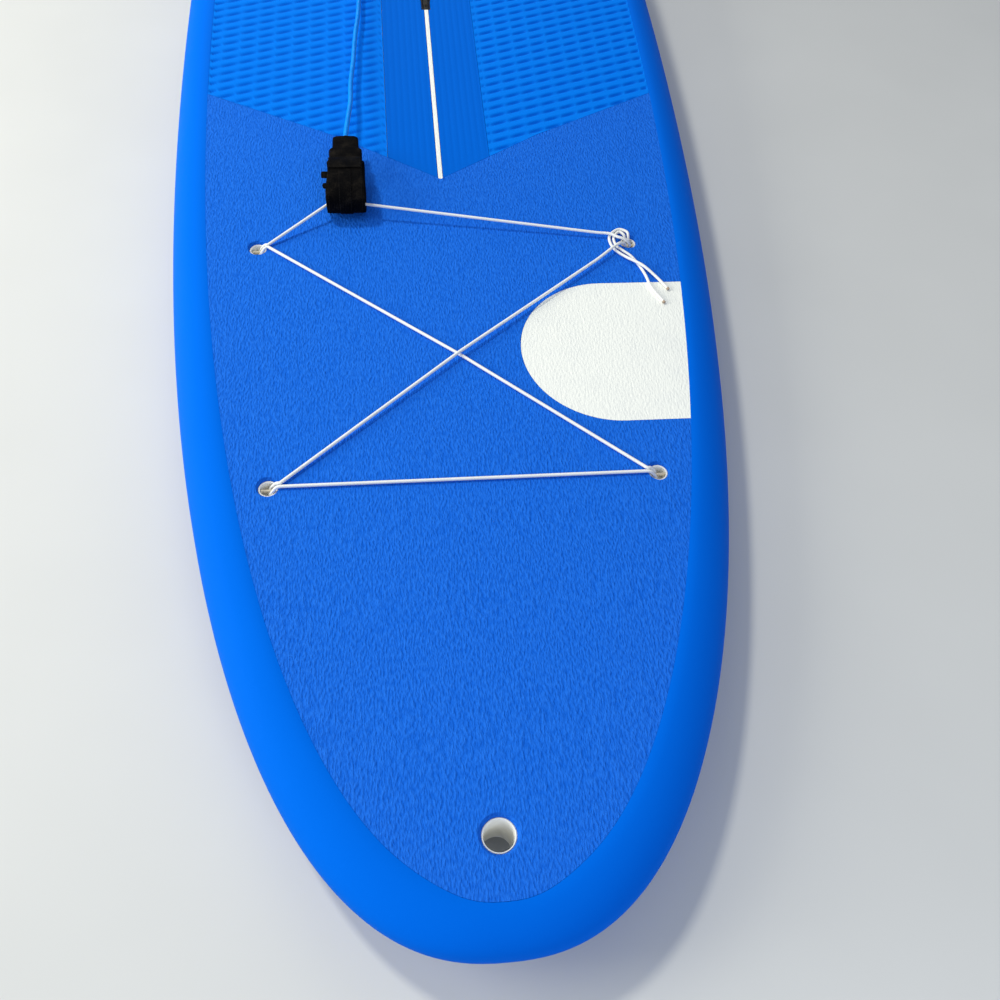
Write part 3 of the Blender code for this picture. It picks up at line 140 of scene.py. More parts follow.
# %% Node tools
class Wire:
    """One output socket of a tree, with arithmetic."""

    def __init__(self, tree, socket):
        self.tree = tree
        self.socket = socket

    def math(self, operation, *others):
        inputs = dict(enumerate((self, *others)))
        return add_node(self.tree, "ShaderNodeMath", {"operation": operation}, inputs)

    def __add__(self, other):
        return self.math("ADD", other)

    def __mul__(self, other):
        return self.math("MULTIPLY", other)

    def __sub__(self, other):
        return self.math("SUBTRACT", other)

    def __rsub__(self, other):
        return self * -1.0 + other

    def __truediv__(self, other):
        return self.math("DIVIDE", other)

    def __pow__(self, other):
        return self.math("POWER", other)

    def clamp(self, low=0.0, high=1.0):
        return self.math("MAXIMUM", low).math("MINIMUM", high)

    def parts(self):
        """The x, y and z of a vector."""
        split = add_node(self.tree, "ShaderNodeSeparateXYZ", inputs={0: self})
        return [Wire(self.tree, socket) for socket in split.socket.node.outputs]


def add_node(tree, kind, settings=None, inputs=None, output=0):
    node = tree.nodes.new(kind)
    for key, value in (settings or {}).items():
        setattr(node, key, value)
    for key, value in (inputs or {}).items():
        if isinstance(value, Wire):
            tree.links.new(value.socket, node.inputs[key])
        else:
            node.inputs[key].default_value = value
    return Wire(tree, node.outputs[output]) if node.outputs else node


def vector(x, y, z):
    tree = next(v.tree for v in (x, y, z) if isinstance(v, Wire))
    return add_node(tree, "ShaderNodeCombineXYZ", inputs={0: x, 1: y, 2: z})


def screen(rgb):
    """Linear colour from a screen colour of 0 to 255."""
    return [((c / 255 + 0.055) / 1.055) ** 2.4 if c > 10 else c / 3294.6 for c in rgb] + [1.0]


class Finish:
    """A Principled material, its unused slot name, and patterns read off the row frame's metres."""

    def __init__(self, name, slot, rgb, roughness, constants=None):
        self.slot = slot
        self.material = bpy.data.materials.new(name)
        self.material.use_nodes = True
        self.tree = self.material.node_tree
        self.shader = self.tree.nodes["Principled BSDF"]
        self.shader.inputs["Base Color"].default_value = screen(rgb)
        self.shader.inputs["Roughness"].default_value = roughness
        for key, value in (constants or {}).items():
            self.shader.inputs[key].default_value = value

    def place(self):
        return add_node(self.tree, "ShaderNodeTexCoord", output="Object")

    def noise(self, millimetres, detail=2.0, squeeze=None):
        """Noise with spots of so many millimetres, longer along an axis that is squeezed."""
        where = self.place()
        if squeeze:
            inputs = {"Vector": where, "Scale": squeeze}
            where = add_node(self.tree, "ShaderNodeMapping", inputs=inputs)
        inputs = {"Vector": where, "Scale": 1000 / millimetres, "Detail": detail}
        return add_node(self.tree, "ShaderNodeTexNoise", inputs=inputs)

    def cells(self, millimetres):
        inputs = {"Vector": self.place(), "Scale": 1000 / millimetres}
        return add_node(self.tree, "ShaderNodeTexVoronoi", inputs=inputs)

    def mark(self, name):
        return add_node(self.tree, "ShaderNodeAttribute", {"attribute_name": name}, output="Fac")

    def blend(self, factor, first, second):
        """Mix of two colours, each a screen colour or a wire."""
        ends = [v if isinstance(v, Wire) else screen(v) for v in (first, second)]
        inputs = {0: factor, 6: ends[0], 7: ends[1]}
        return add_node(self.tree, "ShaderNodeMix", {"data_type": "RGBA"}, inputs, 2)

    def plug(self, key, wire):
        self.tree.links.new(wire.socket, self.shader.inputs[key])

    def paint(self, factor, first, second, roughness=None):
        """Run the colour from one to another, and the roughness along a wire."""
        self.plug("Base Color", self.blend(factor, first, second))
        if roughness:
            self.plug("Roughness", roughness)

    def bump(self, height, millimetres, strength=1.0):
        inputs = {"Height": height, "Distance": millimetres / 1000, "Strength": strength}
        self.plug("Normal", add_node(self.tree, "ShaderNodeBump", inputs=inputs))


def spotted(name, slot, rgb, roughness, spots, tones, relief, constants=None):
    """Finish of two tones in spots, with a fine relief given as its size, depth and strength."""
    finish = Finish(name, slot, rgb, roughness, constants)
    finish.paint(finish.noise(*spots), *tones)
    finish.bump(finish.noise(relief[0]), *relief[1:])
    return finish


print("node tools ready")

# %% [markdown]
# ## The board's rule
# The outline is two half ovals that meet at the widest point, and the deck and the hull are flat in
# the middle and rise along parabolas towards both ends. The same rule gives the rail, the pads and
# the hull's slick, so it is written once, for whole arrays of points. The rail foam is a little
# narrower just at the nose tip.

# %% The board's rule
BOARD_LENGTH = 3.20
BOARD_WIDTH = 0.81
BOARD_THICKNESS = 0.115
WIDE_POINT = 1.60
NOSE_FULLNESS = 2.36
NOSE_SPREAD = 2.25
TAIL_FULLNESS = 2.1
TAIL_SPREAD = 2.4
DECK_FLAT = (1.40, 2.10)
DECK_RISE = (0.052, 0.030)
HULL_FLAT = (1.30, 2.05)
HULL_RISE = (0.115, 0.055)
RAIL_WIDTH = 0.055
EDGE_WIDTH = 0.045
RAIL_LEVEL = 0.45
TIP_NARROWING = 0.0095
TIP_SPREAD = 0.13
TURN_STEP = 1e-3
GAP = 0.0003
PAD = 0.005
WRAP = 0.0065
SLICK = 0.0015
LEAN = 0.0766302
BOARD = Matrix.Translation((0, -1.58635, -0.07809)) @ Matrix.Rotation(LEAN, 4, "X")


def rise(start, end, height, y):
    return height * np.maximum(0.0, (y - start) / (end - start)) ** 2


def deck_z(y):
    nose = rise(DECK_FLAT[0], 0.0, DECK_RISE[0], y)
    return BOARD_THICKNESS + nose + rise(DECK_FLAT[1], BOARD_LENGTH, DECK_RISE[1], y)


def hull_z(y):
    nose = rise(HULL_FLAT[0], 0.0, HULL_RISE[0], y)
    return nose + rise(HULL_FLAT[1], BOARD_LENGTH, HULL_RISE[1], y)


def outline(turn):
    """Outline at turns from -pi by port, through 0 at the nose, to pi by starboard."""
    c = np.cos(turn)
    s = np.sin(turn)
    fore = WIDE_POINT * (1 - np.abs(c) ** (2 / NOSE_SPREAD))
    rear = WIDE_POINT + (BOARD_LENGTH - WIDE_POINT) * np.abs(c) ** (2 / TAIL_SPREAD)
    y = np.where(c > 0, fore, rear)
    fullness = np.where(c > 0, NOSE_FULLNESS, TAIL_FULLNESS)
    return np.sign(s) * BOARD_WIDTH / 2 * np.abs(s) ** (2 / fullness), y


def inset_outline(turn, inset):
    (x0, y0), (x1, y1) = outline(turn - TURN_STEP), outline(turn + TURN_STEP)
    size = np.hypot(x1 - x0, y1 - y0)
    x, y = outline(turn)
    return x - (y1 - y0) / size * inset, y + (x1 - x0) / size * inset


SEAM_INSET = RAIL_WIDTH + GAP
seam_turns = np.linspace(0.0, pi, 1601)
tip_share = np.exp(-((seam_turns / TIP_SPREAD) ** 2))
seam_x, seam_y = inset_outline(seam_turns, SEAM_INSET - TIP_NARROWING * tip_share)


def half_width(y):
    """Half width of the deck foam at a station."""
    return np.interp(y, seam_y, seam_x)


print("deck foam", round(float(seam_x.max()) * 2, 3), "m wide, from", round(float(seam_y[0]), 3))


# %% [markdown]
# ## Mesh tools
# Everything is modelled in the board's own frame and laid down with it at the end, so that each
# finished object stands at the origin with its place in its mesh. Cuts use exact Booleans.

# %% Mesh tools
def link(name, data):
    obj = bpy.data.objects.new(name, data)
    bpy.context.scene.collection.objects.link(obj)
    return obj


def from_points(name, points, faces):
    mesh = bpy.data.meshes.new(name)
    mesh.from_pydata([tuple(p) for p in points], [], faces)
    return link(name, mesh)


def tidy_mesh(obj, distance=1e-6):
    """Merge doubled points and turn the faces outwards."""
    bm = bmesh.new()
    bm.from_mesh(obj.data)
    bmesh.ops.remove_doubles(bm, verts=bm.verts, dist=distance)
    bmesh.ops.recalc_face_normals(bm, faces=bm.faces)
    bm.to_mesh(obj.data)
    bm.free()
    return obj


def baked(obj):
    """Keep what the modifiers make as the object's plain mesh."""
    bpy.context.view_layer.update()
    shown = obj.evaluated_get(bpy.context.evaluated_depsgraph_get())
    mesh = bpy.data.meshes.new_from_object(shown)
    obj.modifiers.clear()
    obj.data = mesh
    return obj


def discard(*objects):
    for obj in objects:
        bpy.data.objects.remove(obj)


def carve(obj, *tools, operation="DIFFERENCE"):
    """Cut an object with tools, which are used up."""
    for tool in tools:
        cut = obj.modifiers.new(tool.name, "BOOLEAN")
        cut.operation = operation
        cut.object = tool
    baked(obj)
    discard(*tools)
    return obj


def rounded(obj, width):
    """Round the edges sharper than 60 degrees."""
    bevel = obj.modifiers.new("round", "BEVEL")
    bevel.width = width
    bevel.segments = 2
    bevel.angle_limit = radians(60)
    return baked(obj)


def stacked(name, rings, closed=False):
    """Solid through rings of the same count, capped at both ends or else closed to a loop."""
    count = len(rings[0])
    points = [p for ring in rings for p in ring]
    last = len(points) - count
    faces = [] if closed else [tuple(range(count)), tuple(range(last, last + count))]
    for k in range(len(rings) if closed else len(rings) - 1):
        low, high = k * count, (k + 1) % len(rings) * count
        for i in range(count):
            j = (i + 1) % count
            faces.append((low + i, low + j, high + j, high + i))
    return tidy_mesh(from_points(name, points, faces))


def mirrored(side):
    """Closed plan from its starboard side."""
    return side + [(-x, y) for x, y in reversed(side)]


def eased(profile, radius, steps=4):
    """Profile with its inner corners rounded."""
    points = [Vector(p) for p in profile]
    out = [points[0]]
    for a, b, c in zip(points, points[1:], points[2:]):
        reach = min(radius, 0.45 * (b - a).length, 0.45 * (c - b).length)
        start = b + (a - b).normalized() * reach
        end = b + (c - b).normalized() * reach
        for i in range(steps + 1):
            t = i / steps
            out.append(start.lerp(b, t).lerp(b.lerp(end, t), t))
    return out + [points[-1]]


def turned(name, profile, radius=0.0003, sides=48):
    """Solid turned about Z from a profile of radii and heights that starts and ends on the axis."""
    bm = bmesh.new()
    chain = [bm.verts.new((r, 0.0, z)) for r, z in (eased(profile, radius) if radius else profile)]
    edges = [bm.edges.new(pair) for pair in zip(chain, chain[1:])]
    axis = {"axis": (0, 0, 1), "cent": (0, 0, 0)}
    bmesh.ops.spin(bm, geom=chain + edges, angle=2 * pi, steps=sides, use_merge=True, **axis)
    mesh = bpy.data.meshes.new(name)
    bm.to_mesh(mesh)
    bm.free()
    return tidy_mesh(link(name, mesh), 1e-7)


def rod(name, radius, low, high, matrix=Matrix.Identity(4), sides=40, ease=0.0):
    obj = turned(name, [(0.0, high), (radius, high), (radius, low), (0.0, low)], ease, sides)
    obj.data.transform(matrix)
    return obj


def block(name, low, high, matrix=Matrix.Identity(4)):
    ring = [(low[0], low[1]), (high[0], low[1]), (high[0], high[1]), (low[0], high[1])]
    obj = stacked(name, [[(x, y, z) for x, y in ring] for z in (low[2], high[2])])
    obj.data.transform(matrix)
    return obj


def centred(name, width, length, low, high, matrix=Matrix.Identity(4)):
    return block(name, (-width / 2, -length / 2, low), (width / 2, length / 2, high), matrix)


def coat(obj, finish, smooth):
    obj.data.materials.clear()
    obj.data.materials.append(finish.material)
    obj.data.shade_smooth()
    obj.data.set_sharp_from_angle(angle=radians(smooth))


def wear(obj, finish, *stands_for, body="board", seat=Matrix.Identity(4), smooth=40):
    """Give a finished piece its material and its body, and lay it down with the board."""
    obj.data.transform(seat)
    obj.data.transform(BOARD)
    coat(obj, finish, smooth)
    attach(obj, body)
    if stands_for:
        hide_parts(*stands_for)
    print(obj.name, len(obj.data.polygons), "faces")
    return obj


def deck_seat(x, y):
    """Frame that lies on the deck, Z square to it."""
    slope = (deck_z(y + 0.001) - deck_z(y - 0.001)) / 0.002
    return Matrix.Translation((x, y, deck_z(y))) @ Matrix.Rotation(atan(slope), 4, "X")


def new_tree(name, inputs, source=True):
    """Geometry tree with a geometry input, named number inputs and a material input."""
    tree = bpy.data.node_groups.new(name, "GeometryNodeTree")
    if source:
        tree.interface.new_socket("Geometry", in_out="INPUT", socket_type="NodeSocketGeometry")
    for key, value in inputs.items():
        kind = "NodeSocketInt" if isinstance(value, int) else "NodeSocketFloat"
        socket = tree.interface.new_socket(key, in_out="INPUT", socket_type=kind)
        socket.default_value = value
    tree.interface.new_socket("Material", in_out="INPUT", socket_type="NodeSocketMaterial")
    tree.interface.new_socket("Geometry", in_out="OUTPUT", socket_type="NodeSocketGeometry")
    group = tree.nodes.new("NodeGroupInput")
    return tree, {socket.name: Wire(tree, socket) for socket in group.outputs if socket.name}


def read_mark(tree, name):
    settings = {"data_type": "FLOAT"}
    return add_node(tree, "GeometryNodeInputNamedAttribute", settings, {"Name": name})


def store_mark(tree, geometry, name, value):
    settings = {"data_type": "FLOAT", "domain": "POINT"}
    inputs = {"Geometry": geometry, "Name": name, "Value": value}
    return add_node(tree, "GeometryNodeStoreNamedAttribute", settings, inputs)


def close_tree(tree, geometry, ports):
    """End a tree in Realize Instances and Set Material."""
    real = add_node(tree, "GeometryNodeRealizeInstances", inputs={"Geometry": geometry})
    inputs = {"Geometry": real, "Material": ports["Material"]}
    painted = add_node(tree, "GeometryNodeSetMaterial", inputs=inputs)
    add_node(tree, "NodeGroupOutput", inputs={0: painted})


def grow(name, tree, values, finish, source=None):
    """Run a geometry tree, its inputs set by their identifiers, and keep the plain mesh."""
    obj = link(name, source or bpy.data.meshes.new(name))
    modifier = obj.modifiers.new(tree.name, "NODES")
    modifier.node_group = tree
    for item in tree.interface.items_tree:
        if item.in_out == "INPUT" and item.name in values:
            modifier[item.identifier] = values[item.name]
        elif item.in_out == "INPUT" and item.name == "Material":
            modifier[item.identifier] = finish.material
    return baked(obj)


print("mesh tools ready")

# %% [markdown]
# ## Foam finishes
# The rail's foam is smooth, with a faint speckle of closed cells. The nose foam is pressed with a
# leather grain, soft spots 2.4 mm wide and 6 mm long along the board, painted lighter on top as
# highlight and darker between as shade, and the white foam with a fainter grain. The traction foam
# is pressed with real relief, and shade is painted into the bottoms of its grooves. Foam hardly
# shines, and a white shine would wash out these deep blues, so the foams have next to none.

# %% Foam finishes
DULL = {"Specular IOR Level": 0.02, "Specular Tint": (0.1, 0.45, 1.0, 1.0)}
LEATHER = (2.4, 1.0, (1.0, 0.4, 1.0))

rail_foam = Finish("rail_foam", "rail_foam", (3, 110, 236), 0.6, DULL)
speckle = rail_foam.noise(0.8, 3.0)
cloudy = (speckle * 0.5 + rail_foam.noise(260) * 0.5 - 0.2).clamp()
rail_foam.paint(cloudy, (1, 100, 219), (3, 110, 230), speckle * 0.2 + 0.5)
rail_foam.bump(speckle, 0.05, 0.5)

nose_foam = Finish("nose_foam", "nose_foam", (27, 104, 218), 0.7, DULL)
pebbles = nose_foam.noise(*LEATHER)
# Painted highlight on the raised spots of the grain and painted shade in its hollows.
pebble_highlight_and_shade = (pebbles * 2.4 - 0.7).clamp()
nose_foam.paint(pebble_highlight_and_shade, (21, 96, 209), (36, 113, 226), pebbles * 0.2 + 0.6)
nose_foam.bump(pebbles, 2.0)

pad_foam = Finish("pad_foam", "pad_foam", (4, 117, 234), 0.65, DULL)
tooth = pad_foam.noise(0.9, 3.0)
# Painted shade in the bottoms of the pressed grooves, over a random tooth of the foam.
groove_shade_and_tooth = (tooth * 0.5 + pad_foam.mark("pressed") * 1.1 - 0.2).clamp()
pad_foam.paint(groove_shade_and_tooth, (5, 123, 240), (0, 86, 200), tooth * 0.2 + 0.55)
pad_foam.bump(tooth, 0.08, 0.6)

strip_foam = Finish("strip_foam", "pad_foam", (4, 102, 216), 0.65, DULL)
nap = strip_foam.noise(0.8, 2.0, (1.0, 0.25, 1.0))
strip_foam.paint((nap * 1.5 - 0.3).clamp(), (1, 97, 208), (4, 102, 216))
strip_foam.bump(nap, 0.06, 0.5)

white_foam = Finish("white_foam", "white_foam", (244, 246, 238), 0.7, {"Specular IOR Level": 0.1})
scuff = (white_foam.noise(30, 4.0) * 2.2 - 1.0).clamp() * 0.5
white_foam.paint(scuff, (247, 248, 242), (234, 236, 234))
white_foam.bump(white_foam.noise(*LEATHER), 0.7)
foams = (rail_foam, nose_foam, pad_foam, strip_foam, white_foam)
print("foams:", [foam.material.name for foam in foams])

# %% [markdown]
# ## Rail
# The foam wrapped round the rail is the form that everyone sees, and it follows a rule, so a
# geometry tree makes it. A flat grid runs round the board one way and round the foam's C-shaped
# section the other way, and Set Position moves each grid point to where the rule puts it. Merging
# the doubled rows closes both seams.

# %% Rail
RAIL_AROUND = 384
RAIL_ACROSS = 14


def wire_rise(y, start, end, height):
    share = ((y - start) / (end - start)).math("MAXIMUM", 0.0)
    return share * share * height


def wire_ends(y, flat, heights):
    """Rise towards the nose and the tail on both sides of a flat."""
    nose = wire_rise(y, flat[0], 0.0, heights[0])
    return nose + wire_rise(y, flat[1], BOARD_LENGTH, heights[1])


def wire_deck(y):
    return wire_ends(y, DECK_FLAT, DECK_RISE) + BOARD_THICKNESS


def wire_hull(y):
    return wire_ends(y, HULL_FLAT, HULL_RISE)


def wire_outline(turn, width):
    c = turn.math("COSINE")
    s = turn.math("SINE")
    fore = c.math("GREATER_THAN", 0.0)
    rear = c.math("ABSOLUTE") ** (2 / TAIL_SPREAD) * (BOARD_LENGTH - WIDE_POINT) + WIDE_POINT
    front = (1.0 - c.math("ABSOLUTE") ** (2 / NOSE_SPREAD)) * WIDE_POINT
    y = fore * front + (1.0 - fore) * rear
    power = fore * (2 / NOSE_FULLNESS - 2 / TAIL_FULLNESS) + 2 / TAIL_FULLNESS
    return s.math("SIGN") * (s.math("ABSOLUTE") ** power) * width * 0.5, y


rail_tree, ports = new_tree("moulded rail", {
    "Board Width": BOARD_WIDTH, "Rail Width": RAIL_WIDTH, "Edge Width": EDGE_WIDTH, "Foam": WRAP,
    "Around": RAIL_AROUND, "Across": RAIL_ACROSS}, source=False)
rows = ports["Across"] * 2.0 + 3.0
grid = add_node(rail_tree, "GeometryNodeMeshGrid", inputs={
    "Size X": 1.0, "Size Y": 1.0, "Vertices X": ports["Around"] + 1.0, "Vertices Y": rows})
index = add_node(rail_tree, "GeometryNodeInputIndex")
column = (index / rows + 1e-4).math("FLOOR")
row = index - column * rows
turn = (column / ports["Around"] - 0.5) * (2 * pi)
last = ports["Across"] * 2.0 + 2.0
inset = (row - ports["Across"]).clamp() * (last - row).clamp() * ports["Foam"]
run = (row.math("MINIMUM", last - 1.0 - row) / ports["Across"]).clamp()
upper = (run * 2.0).clamp() * (pi / 2)
lower = (run * 2.0 - 1.0).clamp() * (pi / 2)
tip = turn / TIP_SPREAD
rail_width = ports["Rail Width"] - (tip * tip * -1.0).math("EXPONENT") * TIP_NARROWING
reach = rail_width - (rail_width - inset) * upper.math("SINE")
reach = reach + (ports["Edge Width"] - inset) * (1.0 - lower.math("COSINE"))
x, y = wire_outline(turn, ports["Board Width"])
x_after, y_after = wire_outline(turn + TURN_STEP, ports["Board Width"])
x_before, y_before = wire_outline(turn - TURN_STEP, ports["Board Width"])
dx = x_after - x_before
dy = y_after - y_before
size = (dx * dx + dy * dy).math("SQRT")
x_in = x - dy / size * reach
y_in = y + dx / size * reach
waist = wire_hull(y) + (wire_deck(y) - wire_hull(y)) * RAIL_LEVEL
z = waist + (wire_deck(y_in) - inset - waist) * upper.math("COSINE")
z = z - (waist - wire_hull(y_in) - inset) * lower.math("SINE")
moved = add_node(rail_tree, "GeometryNodeSetPosition", inputs={
    "Geometry": grid, "Position": vector(x_in, y_in, z)})
sealed = add_node(rail_tree, "GeometryNodeMergeByDistance", inputs={
    "Geometry": moved, "Distance": 2e-5})
close_tree(rail_tree, sealed, ports)

sizes = {"Around": RAIL_AROUND, "Across": RAIL_ACROSS}
rail = rounded(tidy_mesh(grow("foam_rail", rail_tree, sizes, rail_foam)), 0.0003)
wear(rail, rail_foam, "rail_wrap", smooth=50)


# %% [markdown]
# ## Deck foam
# Each foam sheet is a lattice of points over its own patch of the deck, closed below. The traction
# pads are pressed with rows of short slanting grooves, each row half a step off its neighbour, and
# the strip between them has fine grooves along the board. Both are one geometry tree with other
# numbers, which lowers the upper points of a lattice.

# %% Deck foam tools
V_EDGE = ((0.0, 1.032), (0.075, 1.081), (0.1515, 1.1312), (0.3435, 1.233))
STRIP_HALF = 0.075
PAD_REAR = 2.80
SETTLE_STEPS = 12
CLEAR = 0.02


def v_edge(x):
    """Station of the traction foam's V-shaped front edge."""
    xs, ys = zip(*V_EDGE)
    slope = (ys[-1] - ys[-2]) / (xs[-1] - xs[-2])
    return np.interp(abs(x), xs, ys) + np.maximum(0.0, abs(x) - xs[-1]) * slope


def lattice(name, points, drop=PAD - 0.0002, doubled=False):
    """Closed sheet below a grid of points, its upper points marked for relief.

    Its underside is plain strips, or else the same grid again, which later cuts need.
    """
    rows, columns = points.shape[:2]
    top = points.reshape(-1, 3)
    at = np.arange(rows * columns).reshape(rows, columns)
    rim = [*at[0], *at[1:, -1], *at[-1, -2::-1], *at[-2:0:-1, 0]]
    lowered = list(at.ravel()) if doubled else rim
    below = {v: rows * columns + i for i, v in enumerate(lowered)}
    verts = np.vstack([top, top[lowered] - (0.0, 0.0, drop)])
    faces = []
    for i in range(rows - 1):
        for j in range(columns - 1):
            faces.append((at[i, j], at[i, j + 1], at[i + 1, j + 1], at[i + 1, j]))
    if doubled:
        faces += [tuple(below[v] for v in face[::-1]) for face in faces]
    for a, b in zip(rim, [*rim[1:], rim[0]]):
        faces.append((b, a, below[a], below[b]))
    for i in range(0 if doubled else rows - 1):
        low = at[i] if i == 0 else (at[i, 0], at[i, -1])
        high = at[i + 1] if i == rows - 2 else (at[i + 1, 0], at[i + 1, -1])
        faces.append([below[v] for v in [*high, *low[::-1]]])
    obj = from_points(name, verts, faces)
    mark = obj.data.attributes.new("relief", "FLOAT", "POINT")
    marks = np.zeros(len(verts), np.float32)
    inner = np.zeros((rows, columns), np.float32)
    inner[1:-1, 1:-1] = 1.0
    marks[:rows * columns] = inner.ravel()
    mark.data.foreach_set("value", marks)
    return tidy_mesh(obj)


relief_tree, ports = new_tree("pressed relief", {
    "Row Pitch": 0.0195, "Column Pitch": 0.0275, "Slant": 0.37, "Sharpness": 0.9, "Depth": 0.0013})
x, y, z = add_node(relief_tree, "GeometryNodeInputPosition").parts()
columns = x / ports["Column Pitch"]
number = columns.math("FLOOR")
part = columns - number
slanted = (part - 0.5) * ports["Slant"] * ports["Column Pitch"] / ports["Row Pitch"]
phase = y / ports["Row Pitch"] - number * 0.5 - slanted
groove = (phase * (2 * pi)).math("COSINE").math("MAXIMUM", 0.0) ** ports["Sharpness"]
window = (part * pi).math("SINE").math("MAXIMUM", 0.0) ** 0.5
dent = groove * window * read_mark(relief_tree, "relief")
lowered = dent * ports["Depth"] * -1.0
pressed = add_node(relief_tree, "GeometryNodeSetPosition", inputs={
    "Geometry": ports["Geometry"], "Offset": vector(lowered * 0.0, lowered * 0.0, lowered)})
# The dent is kept as "pressed" for the shade that the pad finish paints into the grooves.
close_tree(relief_tree, store_mark(relief_tree, pressed, "pressed", dent), ports)
print("relief tree:", len(relief_tree.nodes), "nodes")


def pressed_sheet(name, points, sizes, finish):
    """Sheet of foam with the relief tree's grooves in its face."""
    flat = lattice("flat", points)
    sheet = grow(name, relief_tree, sizes, finish, flat.data)
    discard(flat)
    return sheet


# %% Traction pads
PAD_ROWS = 820
PAD_COLUMNS = 80


def traction_points(side):
    """Grid over one traction pad, its front row on the V edge and its outer column on the seam."""
    inner = STRIP_HALF + GAP
    across = np.linspace(0.0, 1.0, PAD_COLUMNS)
    front = np.full(PAD_COLUMNS, V_EDGE[1][1])
    for _ in range(SETTLE_STEPS):
        front = v_edge(inner + across * (half_width(front) - inner)) + GAP
    along = np.linspace(0.0, 1.0, PAD_ROWS)[:, None]
    y = front + along * (PAD_REAR - GAP - front)
    x = inner + across * (half_width(y) - inner)
    return np.dstack([side * x, y, deck_z(y)])


for side, name in ((-1, "port"), (1, "starboard")):
    points = traction_points(side)
    pad = pressed_sheet(f"traction_foam_{name}", points, {"Depth": 0.0017}, pad_foam)
    wear(pad, pad_foam, f"traction_pad_{name}", smooth=60)

# %% Tail pad
TAIL_ROWS = 220
TAIL_COLUMNS = 96
PLUG_X = -0.045
PLUG_Y = BOARD_LENGTH - 0.22

rows = np.sin(np.linspace(0.0, pi / 2, TAIL_ROWS))
tail_front = PAD_REAR + GAP
tail_turns = np.interp(tail_front + rows * (seam_y[-1] - tail_front), seam_y, seam_turns)
tail_x, tail_y = inset_outline(tail_turns, SEAM_INSET)
tail_x[-1] = 0.0
grid_x = tail_x[:, None] * np.linspace(-1.0, 1.0, TAIL_COLUMNS)
grid_y = np.repeat(tail_y[:, None], TAIL_COLUMNS, axis=1)
points = np.dstack([grid_x, grid_y, deck_z(grid_y)])
tail_foam = pressed_sheet("tail_foam", points, {"Depth": 0.0012}, pad_foam)
plug_seat = deck_seat(PLUG_X, PLUG_Y)
plug_hole = turned("plug_hole", [
    (0, CLEAR), (0.0168, CLEAR), (0.0168, 0.0), (0.0154, -0.004), (0.0154, -CLEAR), (0, -CLEAR),
], 0.0005)
plug_hole.data.transform(plug_seat)
carve(tail_foam, plug_hole)
wear(tail_foam, pad_foam, "tail_pad", smooth=60)

# %% [markdown]
# ## Handle opening
# The strip between the pads is cut for the handle and the air vent. The handle's plan swells from
# two narrow ends, so its outline is a small rule of its own that the cup and the bar use again.

# %% Strip between the pads
HANDLE_FRONT = 1.4585
HANDLE_LENGTH = 0.200
HANDLE_STRAIGHT = 0.024
HANDLE_HALVES = (0.0067, 0.0305)
VENT_PLACE = (0.035, 1.80)
STRIPE_HALF = 0.00325
STRIPE_FRONT = 1.0325


def swell(y):
    """Share of the handle's swelling at a station, from 0 at its ends to 1 in its middle."""
    share = (y - HANDLE_FRONT - HANDLE_STRAIGHT) / (HANDLE_LENGTH - 2 * HANDLE_STRAIGHT)
    return sin(pi * min(1.0, max(0.0, share))) ** 2


def handle_outline(halves, grow_by=0.0, stretch=0.0, steps=48):
    """Plan of the handle: straight ends that swell towards the middle."""
    end_half, middle_half = halves
    front = HANDLE_FRONT - stretch
    rear = HANDLE_FRONT + HANDLE_LENGTH + stretch
    side = []
    for i in range(steps + 1):
        y = front + (rear - front) * i / steps
        side.append((end_half + (middle_half - end_half) * swell(y) + grow_by, y))
    return mirrored(side)


def plan_stack(name, levels):
    return stacked(name, [[(x, y, z) for x, y in plan] for plan, z in levels])


strip_x = np.linspace(-STRIP_HALF + GAP, STRIP_HALF - GAP, 181)
along = np.linspace(0.0, 1.0, 90)[:, None]
front = v_edge(strip_x) + GAP
grid_y = front + along * (PAD_REAR - GAP - front)
grid_x = np.repeat(strip_x[None, :], len(along), axis=0)
grid_z = deck_z(grid_y) - 0.0028 * (np.abs(grid_x) < STRIPE_HALF + 0.0002)
points = np.dstack([grid_x, grid_y, grid_z])
groove_sizes = {
    "Row Pitch": 1e6, "Column Pitch": 0.005, "Slant": 0.0, "Sharpness": 1.0, "Depth": 0.0002}
strip = pressed_sheet("centre_foam", points, groove_sizes, strip_foam)
DECK = BOARD_THICKNESS
opening = handle_outline(HANDLE_HALVES, GAP, GAP)
wide_opening = handle_outline(HANDLE_HALVES, 0.0019, 0.0006)
levels = [
    (wide_opening, DECK + CLEAR), (wide_opening, DECK), (opening, DECK - PAD),
    (opening, DECK - CLEAR)]
vent_seat = deck_seat(*VENT_PLACE)
vent_hole = rod("vent_hole", 0.0128, -CLEAR, CLEAR, vent_seat)
carve(strip, plan_stack("handle_hole", levels), vent_hole)
wear(strip, strip_foam, "traction_pad_centre", smooth=60)

# %% Centre stripes
for name, start, end in (
    ("front", STRIPE_FRONT, HANDLE_FRONT - 0.0008),
    ("rear", HANDLE_FRONT + HANDLE_LENGTH + 0.0008, PAD_REAR - 0.0004),
):
    edge = STRIPE_HALF
    stripe_x = np.array([-edge, -edge + 0.0004, -0.001, 0.001, edge - 0.0004, edge])
    crown = np.array([-0.0005, -0.0001, 0.0, 0.0, -0.0001, -0.0005])
    stripe_y = np.linspace(start, end, 60)
    grid_x, grid_y = np.meshgrid(stripe_x, stripe_y)
    points = np.dstack([grid_x, grid_y, deck_z(grid_y) + crown])
    stripe = lattice(f"white_stripe_{name}", points, 0.002)
    wear(stripe, white_foam, f"centre_stripe_{name}")

# %% [markdown]
# ## Nose foam and its openings
# One lattice runs from the tip of the nose to the V edge. The cord cups and the nose tube each get
# a funnel whose sloping wall catches the light, and the white panel drops into a cut of its shape.

